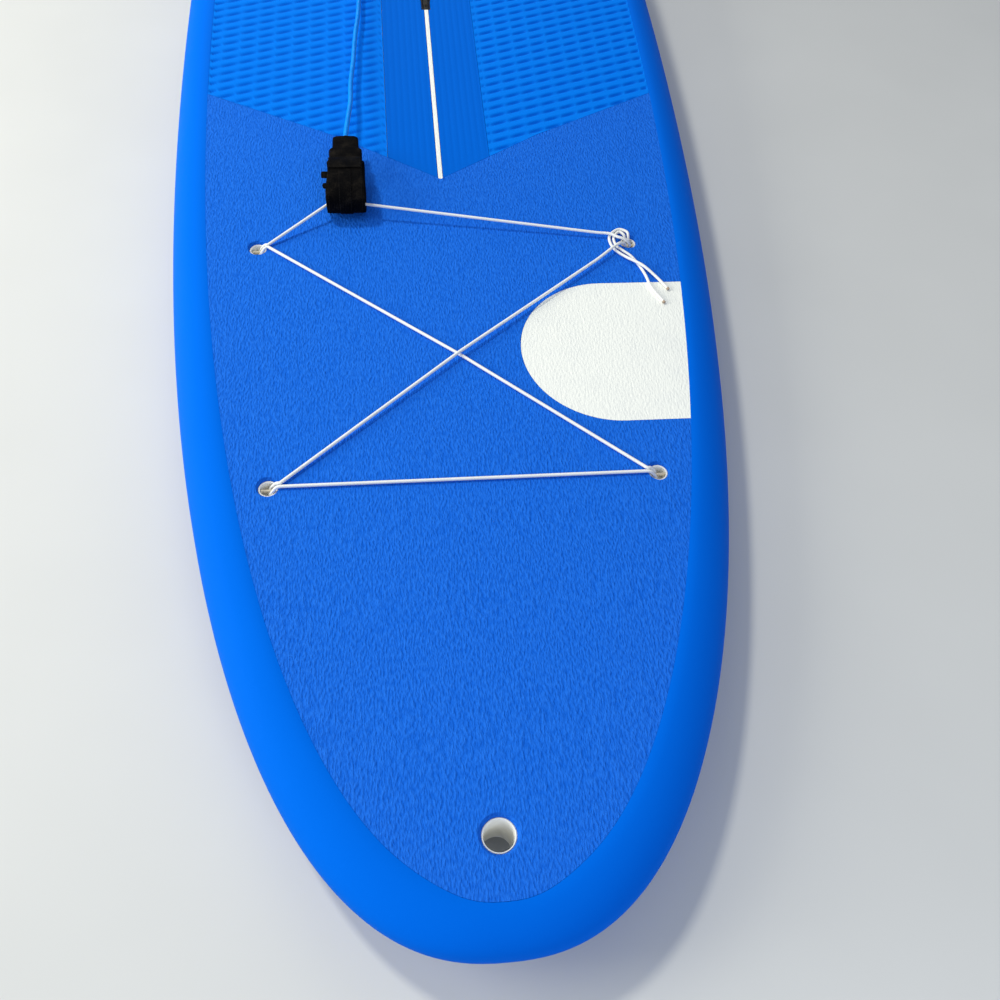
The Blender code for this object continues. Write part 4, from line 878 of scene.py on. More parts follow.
# %% Nose foam
CUPS = {
    "front_port": (-0.554 * BOARD_WIDTH / 2, 0.5031),
    "front_starboard": (0.554 * BOARD_WIDTH / 2, 0.5031),
    "rear_port": (-0.6265 * BOARD_WIDTH / 2, 0.8953),
    "rear_starboard": (0.6265 * BOARD_WIDTH / 2, 0.8953),
}
TUBE_Y = 0.1036
TUBE_RADIUS = 0.0162
OFF_GRID = 0.023
PANEL_CENTRE = (0.2003, 0.6963)
PANEL_RADIUS = 0.1175
NOSE_ROWS = 110
NOSE_COLUMNS = 97


def nose_points():
    """Grid from a pole at the nose tip to the V edge, its outer columns on the seam."""
    across = np.linspace(-1.0, 1.0, NOSE_COLUMNS)
    front = np.full(NOSE_COLUMNS, V_EDGE[1][1])
    for _ in range(SETTLE_STEPS):
        front = v_edge(across * half_width(front)) - GAP
    tip = float(seam_y[0])
    turns = np.linspace(0.0, np.interp(front.max(), seam_y, seam_turns), NOSE_ROWS)
    share = (np.interp(turns, seam_turns, seam_y) - tip) / (front.max() - tip)
    y = tip + share[:, None] * (front - tip)
    x = across * (half_width(y) + 0.00025) * (share[:, None] > 0)
    return np.dstack([x, y, deck_z(y)])


def funnel(name, seat, top, fit, ease=0.0008):
    """Cutter with an eased lip above a sloping wall."""
    profile = [(0, CLEAR), (top + 2 * ease, CLEAR), (top + 2 * ease, ease), (top, -ease),
               (fit, -PAD), (fit, -CLEAR), (0, -CLEAR)]
    cutter = turned(name, profile, 0.0)
    cutter.data.transform(seat @ Matrix.Rotation(OFF_GRID, 4, "Z"))
    return cutter


def panel_shape(name, grow_by):
    """Upright D with its straight side out past the rail."""
    (x, y), radius = PANEL_CENTRE, PANEL_RADIUS + grow_by
    turns = [pi * (i / 64 - 0.5) for i in range(65)]
    arc = [(x - radius * cos(t), y + radius * sin(t)) for t in turns]
    ring = [(BOARD_WIDTH, y - radius), *arc, (BOARD_WIDTH, y + radius)]
    return stacked(name, [[(px, py, z) for px, py in ring] for z in (-0.2, 0.4)])


points = nose_points()
nose = lattice("nose_foam_pad", points, doubled=True)
panel = lattice("white_panel", points, doubled=True)
tube_seat = deck_seat(0.0, TUBE_Y)
cutters = [funnel("tube_hole", tube_seat, 0.0190, TUBE_RADIUS + GAP)]
for name, place in CUPS.items():
    cutters.append(funnel(f"cup_hole_{name}", deck_seat(*place), 0.0129, 0.0113))
carve(nose, panel_shape("panel_cut", 0.0002), *cutters)
carve(panel, panel_shape("panel_keep", -0.0001), operation="INTERSECT")
wear(nose, nose_foam, "nose_pad")
wear(panel, white_foam, "panel_inlay")

# %% [markdown]
# ## Hull
# Under the rail foam the bottom is a hard, slick plastic sheet, white and slightly glossy, with
# fine scratches that run along the board. It has holes for the nose tube and the fin box.

# %% Hull slick
BOX_MIDDLE = BOARD_LENGTH - 0.3465
BOX_LENGTH = 0.267
BOX_WIDTH = 0.0254
BOX_HEIGHT = 0.030
HULL_ROWS = 150
HULL_COLUMNS = 25

slick_finish = Finish("hull_slick", "skin", (232, 236, 234), 0.22, {
    "Coat Weight": 0.25, "Coat Roughness": 0.15})
scratch = slick_finish.noise(1.2, 3.0, (1.0, 0.02, 1.0))
dull = slick_finish.noise(90, 3.0)
greyed = ((dull - 0.45) * 3.0).clamp() * 0.4
slick_finish.paint(greyed, (236, 239, 237), (214, 219, 219), scratch * 0.25 + dull * 0.12 + 0.1)
slick_finish.bump(scratch, 0.04, 0.35)


def box_seat():
    """Frame on the hull under the fin box, Y aft along it and Z into the board."""
    front = BOX_MIDDLE - BOX_LENGTH / 2
    rear = BOX_MIDDLE + BOX_LENGTH / 2
    low, high = hull_z(front), hull_z(rear)
    turn = atan((high - low) / BOX_LENGTH)
    return Matrix.Translation((0.0, BOX_MIDDLE, (low + high) / 2)) @ Matrix.Rotation(turn, 4, "X")


slick_x, slick_y = inset_outline(np.linspace(0.0, pi, HULL_ROWS), EDGE_WIDTH + GAP)
slick_x[0] = slick_x[-1] = 0.0
grid_x = slick_x[:, None] * np.linspace(-1.0, 1.0, HULL_COLUMNS)
grid_y = np.repeat(slick_y[:, None], HULL_COLUMNS, axis=1)
slick = lattice("slick_hull", np.dstack([grid_x, grid_y, hull_z(grid_y) + SLICK]), SLICK)
tube_drill = rod("tube_drill", TUBE_RADIUS + GAP, -0.3, 0.3, tube_seat)
box_hole = centred("box_hole", BOX_WIDTH + 2 * GAP, BOX_LENGTH + 2 * GAP, -0.02, 0.03, box_seat())
carve(slick, tube_drill, box_hole)
wear(slick, slick_finish, "bottom_skin")

# %% [markdown]
# ## White fittings
# The nose tube and the four cord cups are moulded white plastic, slightly warm in the shade, with
# softly rounded rims. A beige pin crosses each cup.

# %% White fittings
white_plastic = Finish("white_plastic", "white_plastic", (246, 245, 238), 0.45, {
    "Specular IOR Level": 0.3})
mould = white_plastic.noise(8, 3.0)
warm = (mould * 1.6 - 0.5).clamp()
white_plastic.paint(warm, (250, 249, 243), (238, 235, 224), mould * 0.2 + 0.25)
white_plastic.bump(white_plastic.noise(0.6), 0.02, 0.3)
beige = spotted("pin_plastic", "beige_plastic", (214, 202, 176), 0.4, (2, 3.0),
                ((222, 211, 186), (198, 184, 155)), (0.5, 0.02, 0.3))

RIM_DEPTH = 0.0045
ACROSS = Matrix.Rotation(pi / 2, 4, "Y")
foot = float(hull_z(TUBE_Y) + 0.002 - deck_z(TUBE_Y))
rim_low, rim_eased = -RIM_DEPTH - 0.0004, -RIM_DEPTH - 0.0001
wall = [(0.0150, foot), (0.0150, rim_low), (0.0152, rim_eased), (0.0156, -RIM_DEPTH),
        (0.0159, rim_eased), (TUBE_RADIUS, rim_low), (TUBE_RADIUS, foot)]


def ring_turned(name, profile, sides=64):
    """Closed ring turned from a closed profile that stays off the axis."""
    turns = [2 * pi * k / sides for k in range(sides)]
    rings = [[(r * cos(t), r * sin(t), z) for r, z in profile] for t in turns]
    return stacked(name, rings, closed=True)


tube = ring_turned("nose_tube_liner", wall)
wear(tube, white_plastic, "nose_tube", seat=tube_seat)


def pin_cup(name, radius, wall, floor, rim, depth, pin_radius, pin_depth):
    """Cup with rounded rim and a cross hole."""
    low = -rim - depth
    inner = radius - wall
    cup = turned(name, [(0.0, low), (inner, low), (inner, -rim), (radius, -rim),
                        (radius, low - floor), (0.0, low - floor)], 0.0006, 56)
    place = Matrix.Translation((0, 0, -pin_depth)) @ ACROSS
    return carve(cup, rod("drill", pin_radius + GAP, -2 * radius, 2 * radius, place, 24))


def cross_pin(name, radius, half, depth):
    place = Matrix.Translation((0, 0, -depth)) @ ACROSS
    return rod(name, radius, -half, half, place, 28, 0.0003)


for name, place in CUPS.items():
    seat = deck_seat(*place)
    cup = pin_cup(f"cord_cup_{name}", radius=0.011, wall=0.0018, floor=0.002, rim=RIM_DEPTH,
                  depth=0.018, pin_radius=0.00175, pin_depth=0.0085)
    wear(cup, white_plastic, f"tie_cup_{name}", seat=seat)
    pin = cross_pin(f"cord_pin_{name}", 0.00175, half=0.0107, depth=0.0085)
    wear(pin, beige, f"tie_pin_{name}", seat=seat)


# %% [markdown]
# ## Cords
# A cord is one smooth curve through the points of its route. The bungee is elastic in a braided
# sleeve, so a geometry tree sweeps a circle along the route and presses the crossing strands of the
# braid into it. The leash is a clear blue urethane cord, and the short string at the tail is braided
# like the bungee, only black.

# %% Cord routes
def smooth_path(route, step, long_run=0.05, closed=False):
    """Points on a centripetal curve through the route, long straight runs cut evenly as well."""
    if closed:
        ends = [route[-1], *route, *route[:2]]
    else:
        ends = [2 * route[0] - route[1], *route, 2 * route[-1] - route[-2]]
    path = []
    for quad in zip(ends, ends[1:], ends[2:], ends[3:]):
        length = (quad[2] - quad[1]).length
        knots = [0.0]
        for p, q in zip(quad, quad[1:]):
            knots.append(knots[-1] + sqrt((q - p).length))
        count = ceil(length / step)
        for i in range(count):
            share = i / count
            if length > long_run:
                path.append(quad[1].lerp(quad[2], share))
            else:
                path.append(curve_point(quad, knots, knots[1] + (knots[2] - knots[1]) * share))
    return path if closed else path + [route[-1]]


def path_length(path):
    return sum((q - p).length for p, q in zip(path, path[1:]))


def curve_point(points, knots, t):
    for spans in (((0, 1), (1, 2), (2, 3)), ((0, 2), (1, 3)), ((1, 2),)):
        shares = [(t - knots[a]) / (knots[b] - knots[a]) for a, b in spans]
        points = [p.lerp(q, share) for p, q, share in zip(points, points[1:], shares)]
    return points[0]


BUNGEE_RADIUS = 0.002
CUFF_X = -0.134
CUFF_Y = 0.9882
CUFF_HALF_LENGTH = 0.0443
CUFF_HALF_HEIGHT = 0.025
CUFF_WIDTH = 0.0526


def cup_point(cup, x, y, z):
    """Board point from millimetres off a cup's centre, its height from the curved deck."""
    seat = deck_seat(*CUPS[cup])
    point = seat @ (Vector((x, y, z)) / 1000)
    level = seat @ (Vector((x, y, 0.0)) / 1000)
    point.z += deck_z(level.y) - level.z
    return point


def pin_loop(cup, enter):
    """In from midships, under the pin and back out."""
    inboard = -1 if CUPS[cup][0] > 0 else 1
    leg = (
        (14.5, 2.5, 3.0), (10.2, 2.9, 1.8), (6.4, 3.6, -2.6), (3.4, 4.2, -7.2), (1.6, 3.2, -11.3))
    way_in = [cup_point(cup, inboard * x, enter * y, z) for x, y, z in leg]
    way_out = [cup_point(cup, inboard * x, -enter * y, z) for x, y, z in leg[::-1]]
    return [*way_in, cup_point(cup, inboard, 0, -12.9), *way_out]


outer_tail = (
    (38.8, -97.9, 2.4), (24.7, -73.4, 3.6), (11.5, -58.2, 7.1), (0.9, -47.4, 6.6),
    (-8.3, -36.9, 4.0), (-19.3, -23.4, 2.4), (-25.1, -12.5, 2.4), (-26.8, 1.4, 2.4),
    (-23.3, 11.7, 2.4), (-9.8, 21.2, 2.4), (0.6, 14.5, 3.0), (1.4, 9.8, 2.0), (1.7, 6.6, -1.8),
    (1.8, 4.5, -7.4),
)
rear_line = (
    (1.8, 3.2, -11.4), (1.8, 0.0, -13.0), (1.8, -3.2, -11.4), (1.8, -4.4, -7.8), (1.6, -4.6, -2.4),
    (-3.5, -3.2, 4.2), (-9.5, -1.6, 6.9), (-15.0, 0.1, 7.4), (-25.8, 7.0, 7.5), (-45.1, 10.4, 7.2),
)
diagonal = (
    (-53.4, -44.7, 6.6), (-23.6, -18.7, 7.7), (-14.5, -11.6, 7.0), (-8.3, -8.3, 3.4),
    (-4.4, -5.4, -2.6), (-3.4, -4.4, -7.8), (-3.4, -3.2, -11.4), (-3.4, 0.0, -13.0),
    (-3.4, 3.2, -11.4),
)
inner_tail = (
    (-3.4, 4.4, -7.6), (-3.6, 6.4, -1.8), (-4.8, 9.8, 2.2), (-10.8, 15.6, 2.8), (-17.6, 9.6, 2.4),
    (-20.6, 1.8, 2.4), (-18.7, -12.4, 2.4), (-11.6, -21.2, 2.4), (-2.2, -32.3, 2.4),
    (5.9, -49.6, 2.3), (11.9, -69.9, 2.3), (16.2, -94.0, 2.4), (28.6, -122.3, 2.4),
)
hang = CUFF_Y - CUFF_HALF_LENGTH + 0.0063 + 2.8 * BUNGEE_RADIUS
in_cuff = float(deck_z(hang)) + 0.8 * CUFF_HALF_HEIGHT
rear_x, front_x = CUPS["rear_starboard"][0], CUPS["front_starboard"][0]
rear_y, front_y = CUPS["rear_starboard"][1], CUPS["front_starboard"][1]
crossing = rear_y + (front_y - rear_y) * rear_x / (rear_x + front_x) + 2.25 * BUNGEE_RADIUS
bungee_points = [
    *[cup_point("rear_starboard", *p) for p in (*outer_tail, *rear_line)],
    *[Vector((CUFF_X + side * CUFF_WIDTH / 2, hang, in_cuff)) for side in (1, 0, -1)],
    *pin_loop("rear_port", 1),
    Vector((2 * BUNGEE_RADIUS, crossing, float(deck_z(crossing)) + 1.5 * BUNGEE_RADIUS)),
    *pin_loop("front_starboard", 1),
    *pin_loop("front_port", -1),
    Vector((2 * BUNGEE_RADIUS, crossing, float(deck_z(crossing)) + 3.9 * BUNGEE_RADIUS)),
    *[cup_point("rear_starboard", *p) for p in (*diagonal, *inner_tail)],
]
print(len(bungee_points), "points on the bungee's route")

# %% Braided cord tree
braid_tree, ports = new_tree("braided cord", {
    "Radius": 0.002, "Sides": 12, "Strand Pitch": 0.007, "Relief": 0.00014})
line = add_node(braid_tree, "GeometryNodeMeshToCurve", inputs={"Mesh": ports["Geometry"]})
length = add_node(braid_tree, "GeometryNodeSplineParameter", output="Length")
line = store_mark(braid_tree, line, "along", length)
circle = add_node(braid_tree, "GeometryNodeCurvePrimitiveCircle", inputs={
    "Resolution": ports["Sides"], "Radius": ports["Radius"]})
number = add_node(braid_tree, "GeometryNodeInputIndex")
circle = store_mark(braid_tree, circle, "around", number / ports["Sides"])
tube = add_node(braid_tree, "GeometryNodeCurveToMesh", inputs={
    "Curve": line, "Profile Curve": circle, "Fill Caps": True})
along_turn = read_mark(braid_tree, "along") / ports["Strand Pitch"] * (2 * pi)
around_turn = read_mark(braid_tree, "around") * (2 * pi * 3)
weave = (along_turn + around_turn).math("SINE") * (along_turn - around_turn).math("SINE")
nx, ny, nz = add_node(braid_tree, "GeometryNodeInputNormal").parts()
lift = weave * ports["Relief"]
tube = add_node(braid_tree, "GeometryNodeSetPosition", inputs={
    "Geometry": tube, "Offset": vector(nx * lift, ny * lift, nz * lift)})
close_tree(braid_tree, tube, ports)


def polyline(name, *paths, closed=False):
    """Mesh of bare edges along each path."""
    points, edges = [], []
    for path in paths:
        first = len(points)
        points += [tuple(p) for p in path]
        edges += [(i, i + 1) for i in range(first, len(points) - 1)]
        if closed:
            edges.append((len(points) - 1, first))
    mesh = bpy.data.meshes.new(name)
    mesh.from_pydata(points, edges, [])
    return mesh


def row_path(path):
    return [tuple(BOARD @ p) for p in path]


bungee_path = smooth_path(bungee_points, 0.0016)
bungee_length = path_length(bungee_path)
sleeve = Finish("bungee_sleeve", "cord", (240, 240, 236), 0.62, {"Sheen Weight": 0.2})
fleck = ((sleeve.noise(1.1) - 0.6) * 5.0).clamp() * 0.7
soil = (sleeve.noise(45, 3.0) * 1.4 - 0.5).clamp()
off_middle = (sleeve.mark("along") - bungee_length / 2).math("ABSOLUTE")
seared = ((off_middle - (bungee_length / 2 - 0.0035)) * 700.0).clamp() * 0.85
cloth = sleeve.blend(soil, (246, 246, 243), (232, 231, 226))
cloth = sleeve.blend(fleck, cloth, (205, 186, 150))
sleeve.paint(seared, cloth, (150, 116, 78))
sleeve.bump(sleeve.noise(0.35), 0.05, 0.6)

line = polyline("bungee_line", bungee_path)
bungee = grow("braided_bungee", braid_tree, {"Radius": 0.00195}, sleeve, line)
wear(tidy_mesh(bungee, 1e-7), sleeve, "bungee_cord", smooth=80)
print("bungee", round(bungee_length, 3), "m in", len(bungee_path), "points")

# %% [markdown]
# ## Leash
# The leash lies back along the deck from the cuff's swivel to the rail saver by the tail. It is
# 7 mm urethane, azure, with a beige refraction of light painted along its starboard side.

# %% Leash cord
CORD_RADIUS = 0.0035
SAVER_LENGTH = 0.19
SAVER_NECK = 0.036
NECK_THICK = 0.0155
CUFF_NECK_HEIGHT = 0.030
CUFF_NECK = 0.050


def saver_seat():
    """Frame at the rail saver's eye, Y towards the nose along the deck."""
    middle = PLUG_Y - 0.052 - SAVER_LENGTH / 2
    back = deck_seat(PLUG_X, middle) @ Matrix.Translation((0, SAVER_LENGTH / 2, 0.0005))
    return back @ Matrix.Rotation(pi, 4, "Z")


cuff_seat = deck_seat(CUFF_X, CUFF_Y)
cuff_tip = cuff_seat @ Vector((0, CUFF_HALF_LENGTH + CUFF_NECK, GAP + CUFF_NECK_HEIGHT))
cuff_way = cuff_seat.to_3x3() @ Vector((0, 1, 0))
eye_seat = saver_seat()
saver_tip = eye_seat @ Vector((0, SAVER_LENGTH + GAP + SAVER_NECK, NECK_THICK / 2))
saver_way = eye_seat.to_3x3() @ Vector((0, 1, 0))
leash_free = (
    (0.0300, -0.1306, 0.0290), (0.0585, -0.1270, 0.0250), (0.0905, -0.1263, 0.0213),
    (0.1275, -0.1222, 0.0182), (0.1563, -0.1201, 0.0163), (0.1815, -0.1173, 0.0152),
    (0.2061, -0.1137, 0.0145), (0.2400, -0.1115, 0.0130), (0.2961, -0.1082, 0.0095),
    (0.4077, -0.1010, 0.0060), (0.5010, -0.0850, 0.0045), (0.6006, -0.0800, 0.0042),
    (0.7127, -0.0880, 0.0042), (0.8247, -0.0860, 0.0042), (0.9118, -0.0650, 0.0045),
)
leash_start = cuff_tip + cuff_way * 0.0018
leash_end = saver_tip + saver_way * 0.0018
leash_points = [leash_start, leash_start + cuff_way * 2 * CORD_RADIUS]
for share, x, height in leash_free:
    y = cuff_tip.y + (saver_tip.y - cuff_tip.y) * share
    leash_points.append(Vector((x, y, float(deck_z(y)) + height)))
leash_points += [leash_end + saver_way * lead * CORD_RADIUS for lead in (6, 2, 0)]
leash_path = smooth_path(leash_points, 0.006, 10.0)
leash_length = path_length(leash_path)

urethane = Finish("leash_urethane", "leash", (16, 136, 240), 0.25, {
    "Transmission Weight": 0.02, "IOR": 1.45, "Specular IOR Level": 0.06,
    "Specular Tint": (0.3, 0.7, 1.0, 1.0)})
haze = (urethane.noise(12) * 1.6 - 0.5).clamp()
# Painted refraction: the side of the cord that faces starboard is turned beige.
painted_refraction = ((urethane.mark("starboard") - 0.84) * 7.0).clamp() * 0.6
urethane.paint(painted_refraction, urethane.blend(haze, (14, 146, 250), (3, 122, 230)), (150, 142, 124))
urethane.bump(urethane.noise(1.4), 0.04, 0.4)
sizes = {"Radius": CORD_RADIUS, "Sides": 20, "Relief": 0.0}
line = polyline("leash_line", leash_path)
leash = tidy_mesh(grow("leash_cord_clear", braid_tree, sizes, urethane, line), 1e-7)
facing = np.zeros(len(leash.data.vertices) * 3, np.float32)
leash.data.vertex_normals.foreach_get("vector", facing)
starboard = leash.data.attributes.new("starboard", "FLOAT", "POINT")
starboard.data.foreach_set("value", facing[::3].copy())
wear(leash, urethane, "leash_cord", smooth=80)
row_path(leash_path)
print("leash", round(leash_length, 3), "m")

# %% [markdown]
# ## Sewn webbing
# The cuff is a padded neoprene band in a strap that folds back on itself. Band and strap are sweeps:
# a small rounded section is carried round a flat oval and stands square to it at each step. The
# stitches are a geometry tree of their own, which sets short thread ends along a line.

# %% Sweeps and stitches
def rounded_point(turn, power):
    """Point at a turn on a unit square whose corners are rounded by a power."""
    c, s = cos(turn), sin(turn)
    return abs(c) ** power * (1 if c > 0 else -1), abs(s) ** power * (1 if s > 0 else -1)


def rounded_ring(power, steps):
    return [rounded_point(2 * pi * k / steps, power) for k in range(steps)]


def sweep(name, line, half_width_at, half_thick, corner, steps, closed=False):
    """Carry a rounded section along a line in Y and Z, its width across X."""
    rings = []
    for i, ((y, z), (out_y, out_z)) in enumerate(zip(*line)):
        wide = half_width_at(i)
        rings.append([(wide * u, y + out_y * half_thick * v, z + out_z * half_thick * v)
                      for u, v in rounded_ring(2 / corner, steps)])
    return stacked(name, rings, closed)


def oval_line(depth, start, end, steps):
    """Points and outward directions on the cuff's flat oval, at a depth below its outer face."""
    length, height = CUFF_HALF_LENGTH - depth, CUFF_HALF_HEIGHT - depth
    points, outs = [], []
    for i in range(steps):
        t = radians(start + (end - start) * i / steps)
        near = []
        for turn in (t - 0.01, t, t + 0.01):
            u, v = rounded_point(turn, 0.8)
            near.append(Vector((length * u, GAP + CUFF_HALF_HEIGHT + height * v)))
        course = (near[2] - near[0]).normalized()
        points.append(near[1])
        outs.append(Vector((course.y, -course.x)))
    return points, outs


stitch_tree, ports = new_tree("stitches", {
    "Pitch": 0.0034, "Stitch Length": 0.0024, "Thread": 0.00035})
line = add_node(stitch_tree, "GeometryNodeMeshToCurve", inputs={"Mesh": ports["Geometry"]})
spots = add_node(stitch_tree, "GeometryNodeResampleCurve", {"mode": "LENGTH"}, {
    "Curve": line, "Length": ports["Pitch"]})
tangent = add_node(stitch_tree, "GeometryNodeInputTangent")
facing = add_node(stitch_tree, "FunctionNodeAlignRotationToVector", {"axis": "X"}, {
    "Vector": tangent})
bead = add_node(stitch_tree, "GeometryNodeMeshUVSphere", inputs={
    "Segments": 6, "Rings": 5, "Radius": 1.0})
size = vector(ports["Stitch Length"] * 0.5, ports["Thread"], ports["Thread"])
thread = add_node(stitch_tree, "GeometryNodeTransform", inputs={"Geometry": bead, "Scale": size})
sewn = add_node(stitch_tree, "GeometryNodeInstanceOnPoints", inputs={
    "Points": spots, "Instance": thread, "Rotation": facing})
close_tree(stitch_tree, sewn, ports)

MATT = {"Specular IOR Level": 0.04}
neoprene = Finish("neoprene", "webbing", (12, 12, 14), 0.9, MATT)
knit = neoprene.cells(0.9)
fuzz = neoprene.noise(3.0, 4.0)
neoprene.paint((knit * 0.9 + fuzz * 0.5 - 0.2).clamp(), (5, 5, 7), (28, 26, 24))
neoprene.bump(knit + fuzz * 0.5, 0.15, 0.7)

webbing = Finish("black_webbing", "webbing", (13, 13, 15), 0.8, MATT)
wx, wy, wz = webbing.place().parts()
rib = (wy * (2 * pi / 0.0016)).math("SINE") * (wx * (2 * pi / 0.0022)).math("SINE")
lint = webbing.noise(2.0, 4.0)
worn = (rib * 0.3 + (lint - 0.5) * 1.6 + (webbing.noise(16.0) - 0.45) * 1.8).clamp()
webbing.paint(worn, (4, 4, 6), (38, 34, 29))
webbing.bump(rib * 0.5 + lint, 0.3, 0.9)

thread_finish = spotted("thread", "webbing", (28, 28, 28), 0.7, (0.8,),
                        ((18, 18, 19), (36, 35, 34)), (0.3, 0.05, 0.5), MATT)


def stitch(name, lines, seat):
    """Stitches along lines of points given in a seat's frame."""
    sewn = grow(name, stitch_tree, {}, thread_finish, polyline(name, *lines))
    return wear(sewn, thread_finish, seat=seat, smooth=80)


# %% Cuff band and strap
STRAP_START = 78
STRAP_END = 300
STRAP_STEPS = 96


def cuff_half(degrees):
    """Half width of the cuff, which is pulled in where the strap is folded."""
    wobble = 0.012 * sin(radians(3 * degrees) + 0.6)
    return CUFF_WIDTH / 2 * (1.0 + wobble - 0.12 * exp(-(((degrees - 75) / 40) ** 2)))


def on_oval(x, depth, start, end, steps):
    """Line of points at a place across the cuff."""
    return [(x, *point) for point in oval_line(depth, start, end, steps)[0]]


band = sweep("cuff_padding", oval_line(0.0043, 0, 360, 120), lambda i: cuff_half(3 * i),
             half_thick=0.0021, corner=3.2, steps=24, closed=True)
wear(band, neoprene, "cuff_band", seat=cuff_seat, smooth=70)
strap_turn = (STRAP_END - STRAP_START) / STRAP_STEPS
strap = sweep("cuff_wrap", oval_line(0.0010, STRAP_START, STRAP_END, STRAP_STEPS),
              lambda i: cuff_half(STRAP_START + strap_turn * i) * 1.005,
              half_thick=0.00095, corner=3.6, steps=24)
wear(strap, webbing, "cuff_strap", seat=cuff_seat, smooth=70)
tape = sweep("cuff_tape", oval_line(-0.0003, 90, 290, 90), lambda i: 0.0085,
             half_thick=0.0006, corner=3.4, steps=16)
wear(tape, webbing, seat=cuff_seat, smooth=70)
yoke = sweep("cuff_yoke", oval_line(-0.0010, 20, 88, 40), lambda i: 0.0228 + 0.0004 * sin(i),
             half_thick=0.0009, corner=3.4, steps=24)
wear(yoke, webbing, seat=cuff_seat, smooth=70)

edge_lines = [on_oval(x, -0.0019, 24, 85, 30) for x in (-0.0205, 0.0205)]
edge_lines.append([on_oval(x, -0.0019, 84.5, 85.5, 1)[0] for x in np.linspace(-0.0205, 0.0205, 12)])
edge_lines += [on_oval(x, -0.0001, 92, 298, 104) for x in (-0.0222, 0.0222)]
edge_lines += [on_oval(x, -0.0009, 92, 288, 100) for x in (-0.0074, 0.0074)]
stitch("cuff_stitches", edge_lines, cuff_seat)


# %% Cuff neck and tabs
def barrel_form(name, sections, corner=4.0, steps=36):
    """Closed form along Y through rounded sections: station, half width, half height, middle."""
    unit = rounded_ring(2 / corner, steps)
    return stacked(name, [[(wide * u, y, sum(middle) + high * v) for u, v in unit]
                          for y, wide, high, *middle in sections])


def swivel_bore(length):
    """Cutter for the swivel that ends a neck of this length."""
    along_y = Matrix.Rotation(-pi / 2, 4, "X")
    return rod("swivel_bore", 0.0059, length - 0.0208, length + 0.02, along_y, 32)


moulded = Finish("moulded_black", "black_plastic", (10, 10, 12), 0.5, {"Specular IOR Level": 0.2})
grain_fine = moulded.noise(0.7, 3.0)
shade = (moulded.noise(9, 3.0) * 1.5 - 0.4).clamp()
moulded.paint(shade, (6, 6, 8), (18, 18, 20), grain_fine * 0.3 + 0.34)
moulded.bump(grain_fine, 0.06, 0.6)

neck_seat = cuff_seat @ Matrix.Translation((0, CUFF_HALF_LENGTH, GAP + CUFF_NECK_HEIGHT))
half = NECK_THICK / 2
neck = barrel_form("cuff_neck_cover", [
    (-0.0035, 0.0228, half * 0.96), (0.004, 0.0231, half), (0.016, 0.0232, half),
    (0.0215, 0.0230, half * 0.98), (0.0236, 0.0214, half * 0.94), (0.0250, 0.0186, half * 0.90),
    (0.032, 0.0184, half * 0.88), (0.044, 0.0184, half * 0.86), (0.0485, 0.0180, half * 0.84),
    (0.0500, 0.0166, half * 0.76)])
carve(neck, swivel_bore(CUFF_NECK))
wear(neck, webbing, "cuff_neck", seat=neck_seat, smooth=60)

tab = barrel_form("pull_tab", [
    (-0.0090, 0.0040, 0.0004), (-0.0084, 0.0044, 0.0009), (-0.0030, 0.0048, 0.0011),
    (0.0024, 0.0048, 0.0011), (0.0036, 0.0044, 0.0009), (0.0040, 0.0040, 0.0004)], 3.0, 20)
tab_seat = cuff_seat @ Matrix.Translation((-CUFF_WIDTH / 2 - 0.0012, 0.0, 0.0456))
wear(tab, webbing, "cuff_pull_tab", seat=tab_seat, smooth=60)
strap_end = barrel_form("cuff_strap_tip", [
    (-0.0280, 0.0030, 0.0008), (-0.0272, 0.0042, 0.0016), (-0.0220, 0.0050, 0.0019),
    (-0.0190, 0.0044, 0.0016), (-0.0184, 0.0030, 0.0008)], 2.6, 20)
end_seat = cuff_seat @ Matrix.Translation((-0.0255, 0, 0.0440))
wear(strap_end, webbing, seat=end_seat, smooth=60)

# %% [markdown]
# ## Tail end of the leash
# The rail saver is a strap folded round a short string that loops under the pin of the leash cup.
# It is swept like the cuff's strap, along a line that runs down, round the string and back.

# %% Rail saver
RUN = 0.186
RUN_STEPS = 30
FOLD_RADIUS = 0.0037
FOLD_STEPS = 16
saver_line = [(SAVER_LENGTH - 0.001 - RUN * i / RUN_STEPS, 0.0013) for i in range(RUN_STEPS + 1)]
for i in range(1, FOLD_STEPS):
    t = -pi / 2 - pi * i / FOLD_STEPS
    saver_line.append((0.0002 + FOLD_RADIUS * cos(t), 0.0050 + FOLD_RADIUS * sin(t)))
for i in range(RUN_STEPS + 1):
    y = 0.002 + RUN * i / RUN_STEPS
    saver_line.append((y, 0.0038 + 0.0049 * max(0.0, 1 - (y - 0.002) / 0.016) ** 2))
outs = []
for i in range(len(saver_line)):
    a, b = saver_line[max(0, i - 1)], saver_line[min(len(saver_line) - 1, i + 1)]
    course = Vector((b[0] - a[0], b[1] - a[1])).normalized()
    outs.append((course.y, -course.x))
saver = sweep("rail_saver_strap", (saver_line, outs), lambda i: 0.0124,
              half_thick=0.00115, corner=3.4, steps=20)
wear(saver, webbing, "rail_saver", seat=eye_seat, smooth=70)
seam, seam_level = 0.0105, 0.0051
saver_stitches = [[(x, y, seam_level) for y in np.linspace(0.024, 0.184, 60)]
                  for x in (-seam, seam)]
saver_stitches += [[(x, y, seam_level) for x in np.linspace(-seam, seam, 9)]
                   for y in (0.026, 0.046, 0.160, 0.182)]
stitch("rail_saver_stitches", saver_stitches, eye_seat)

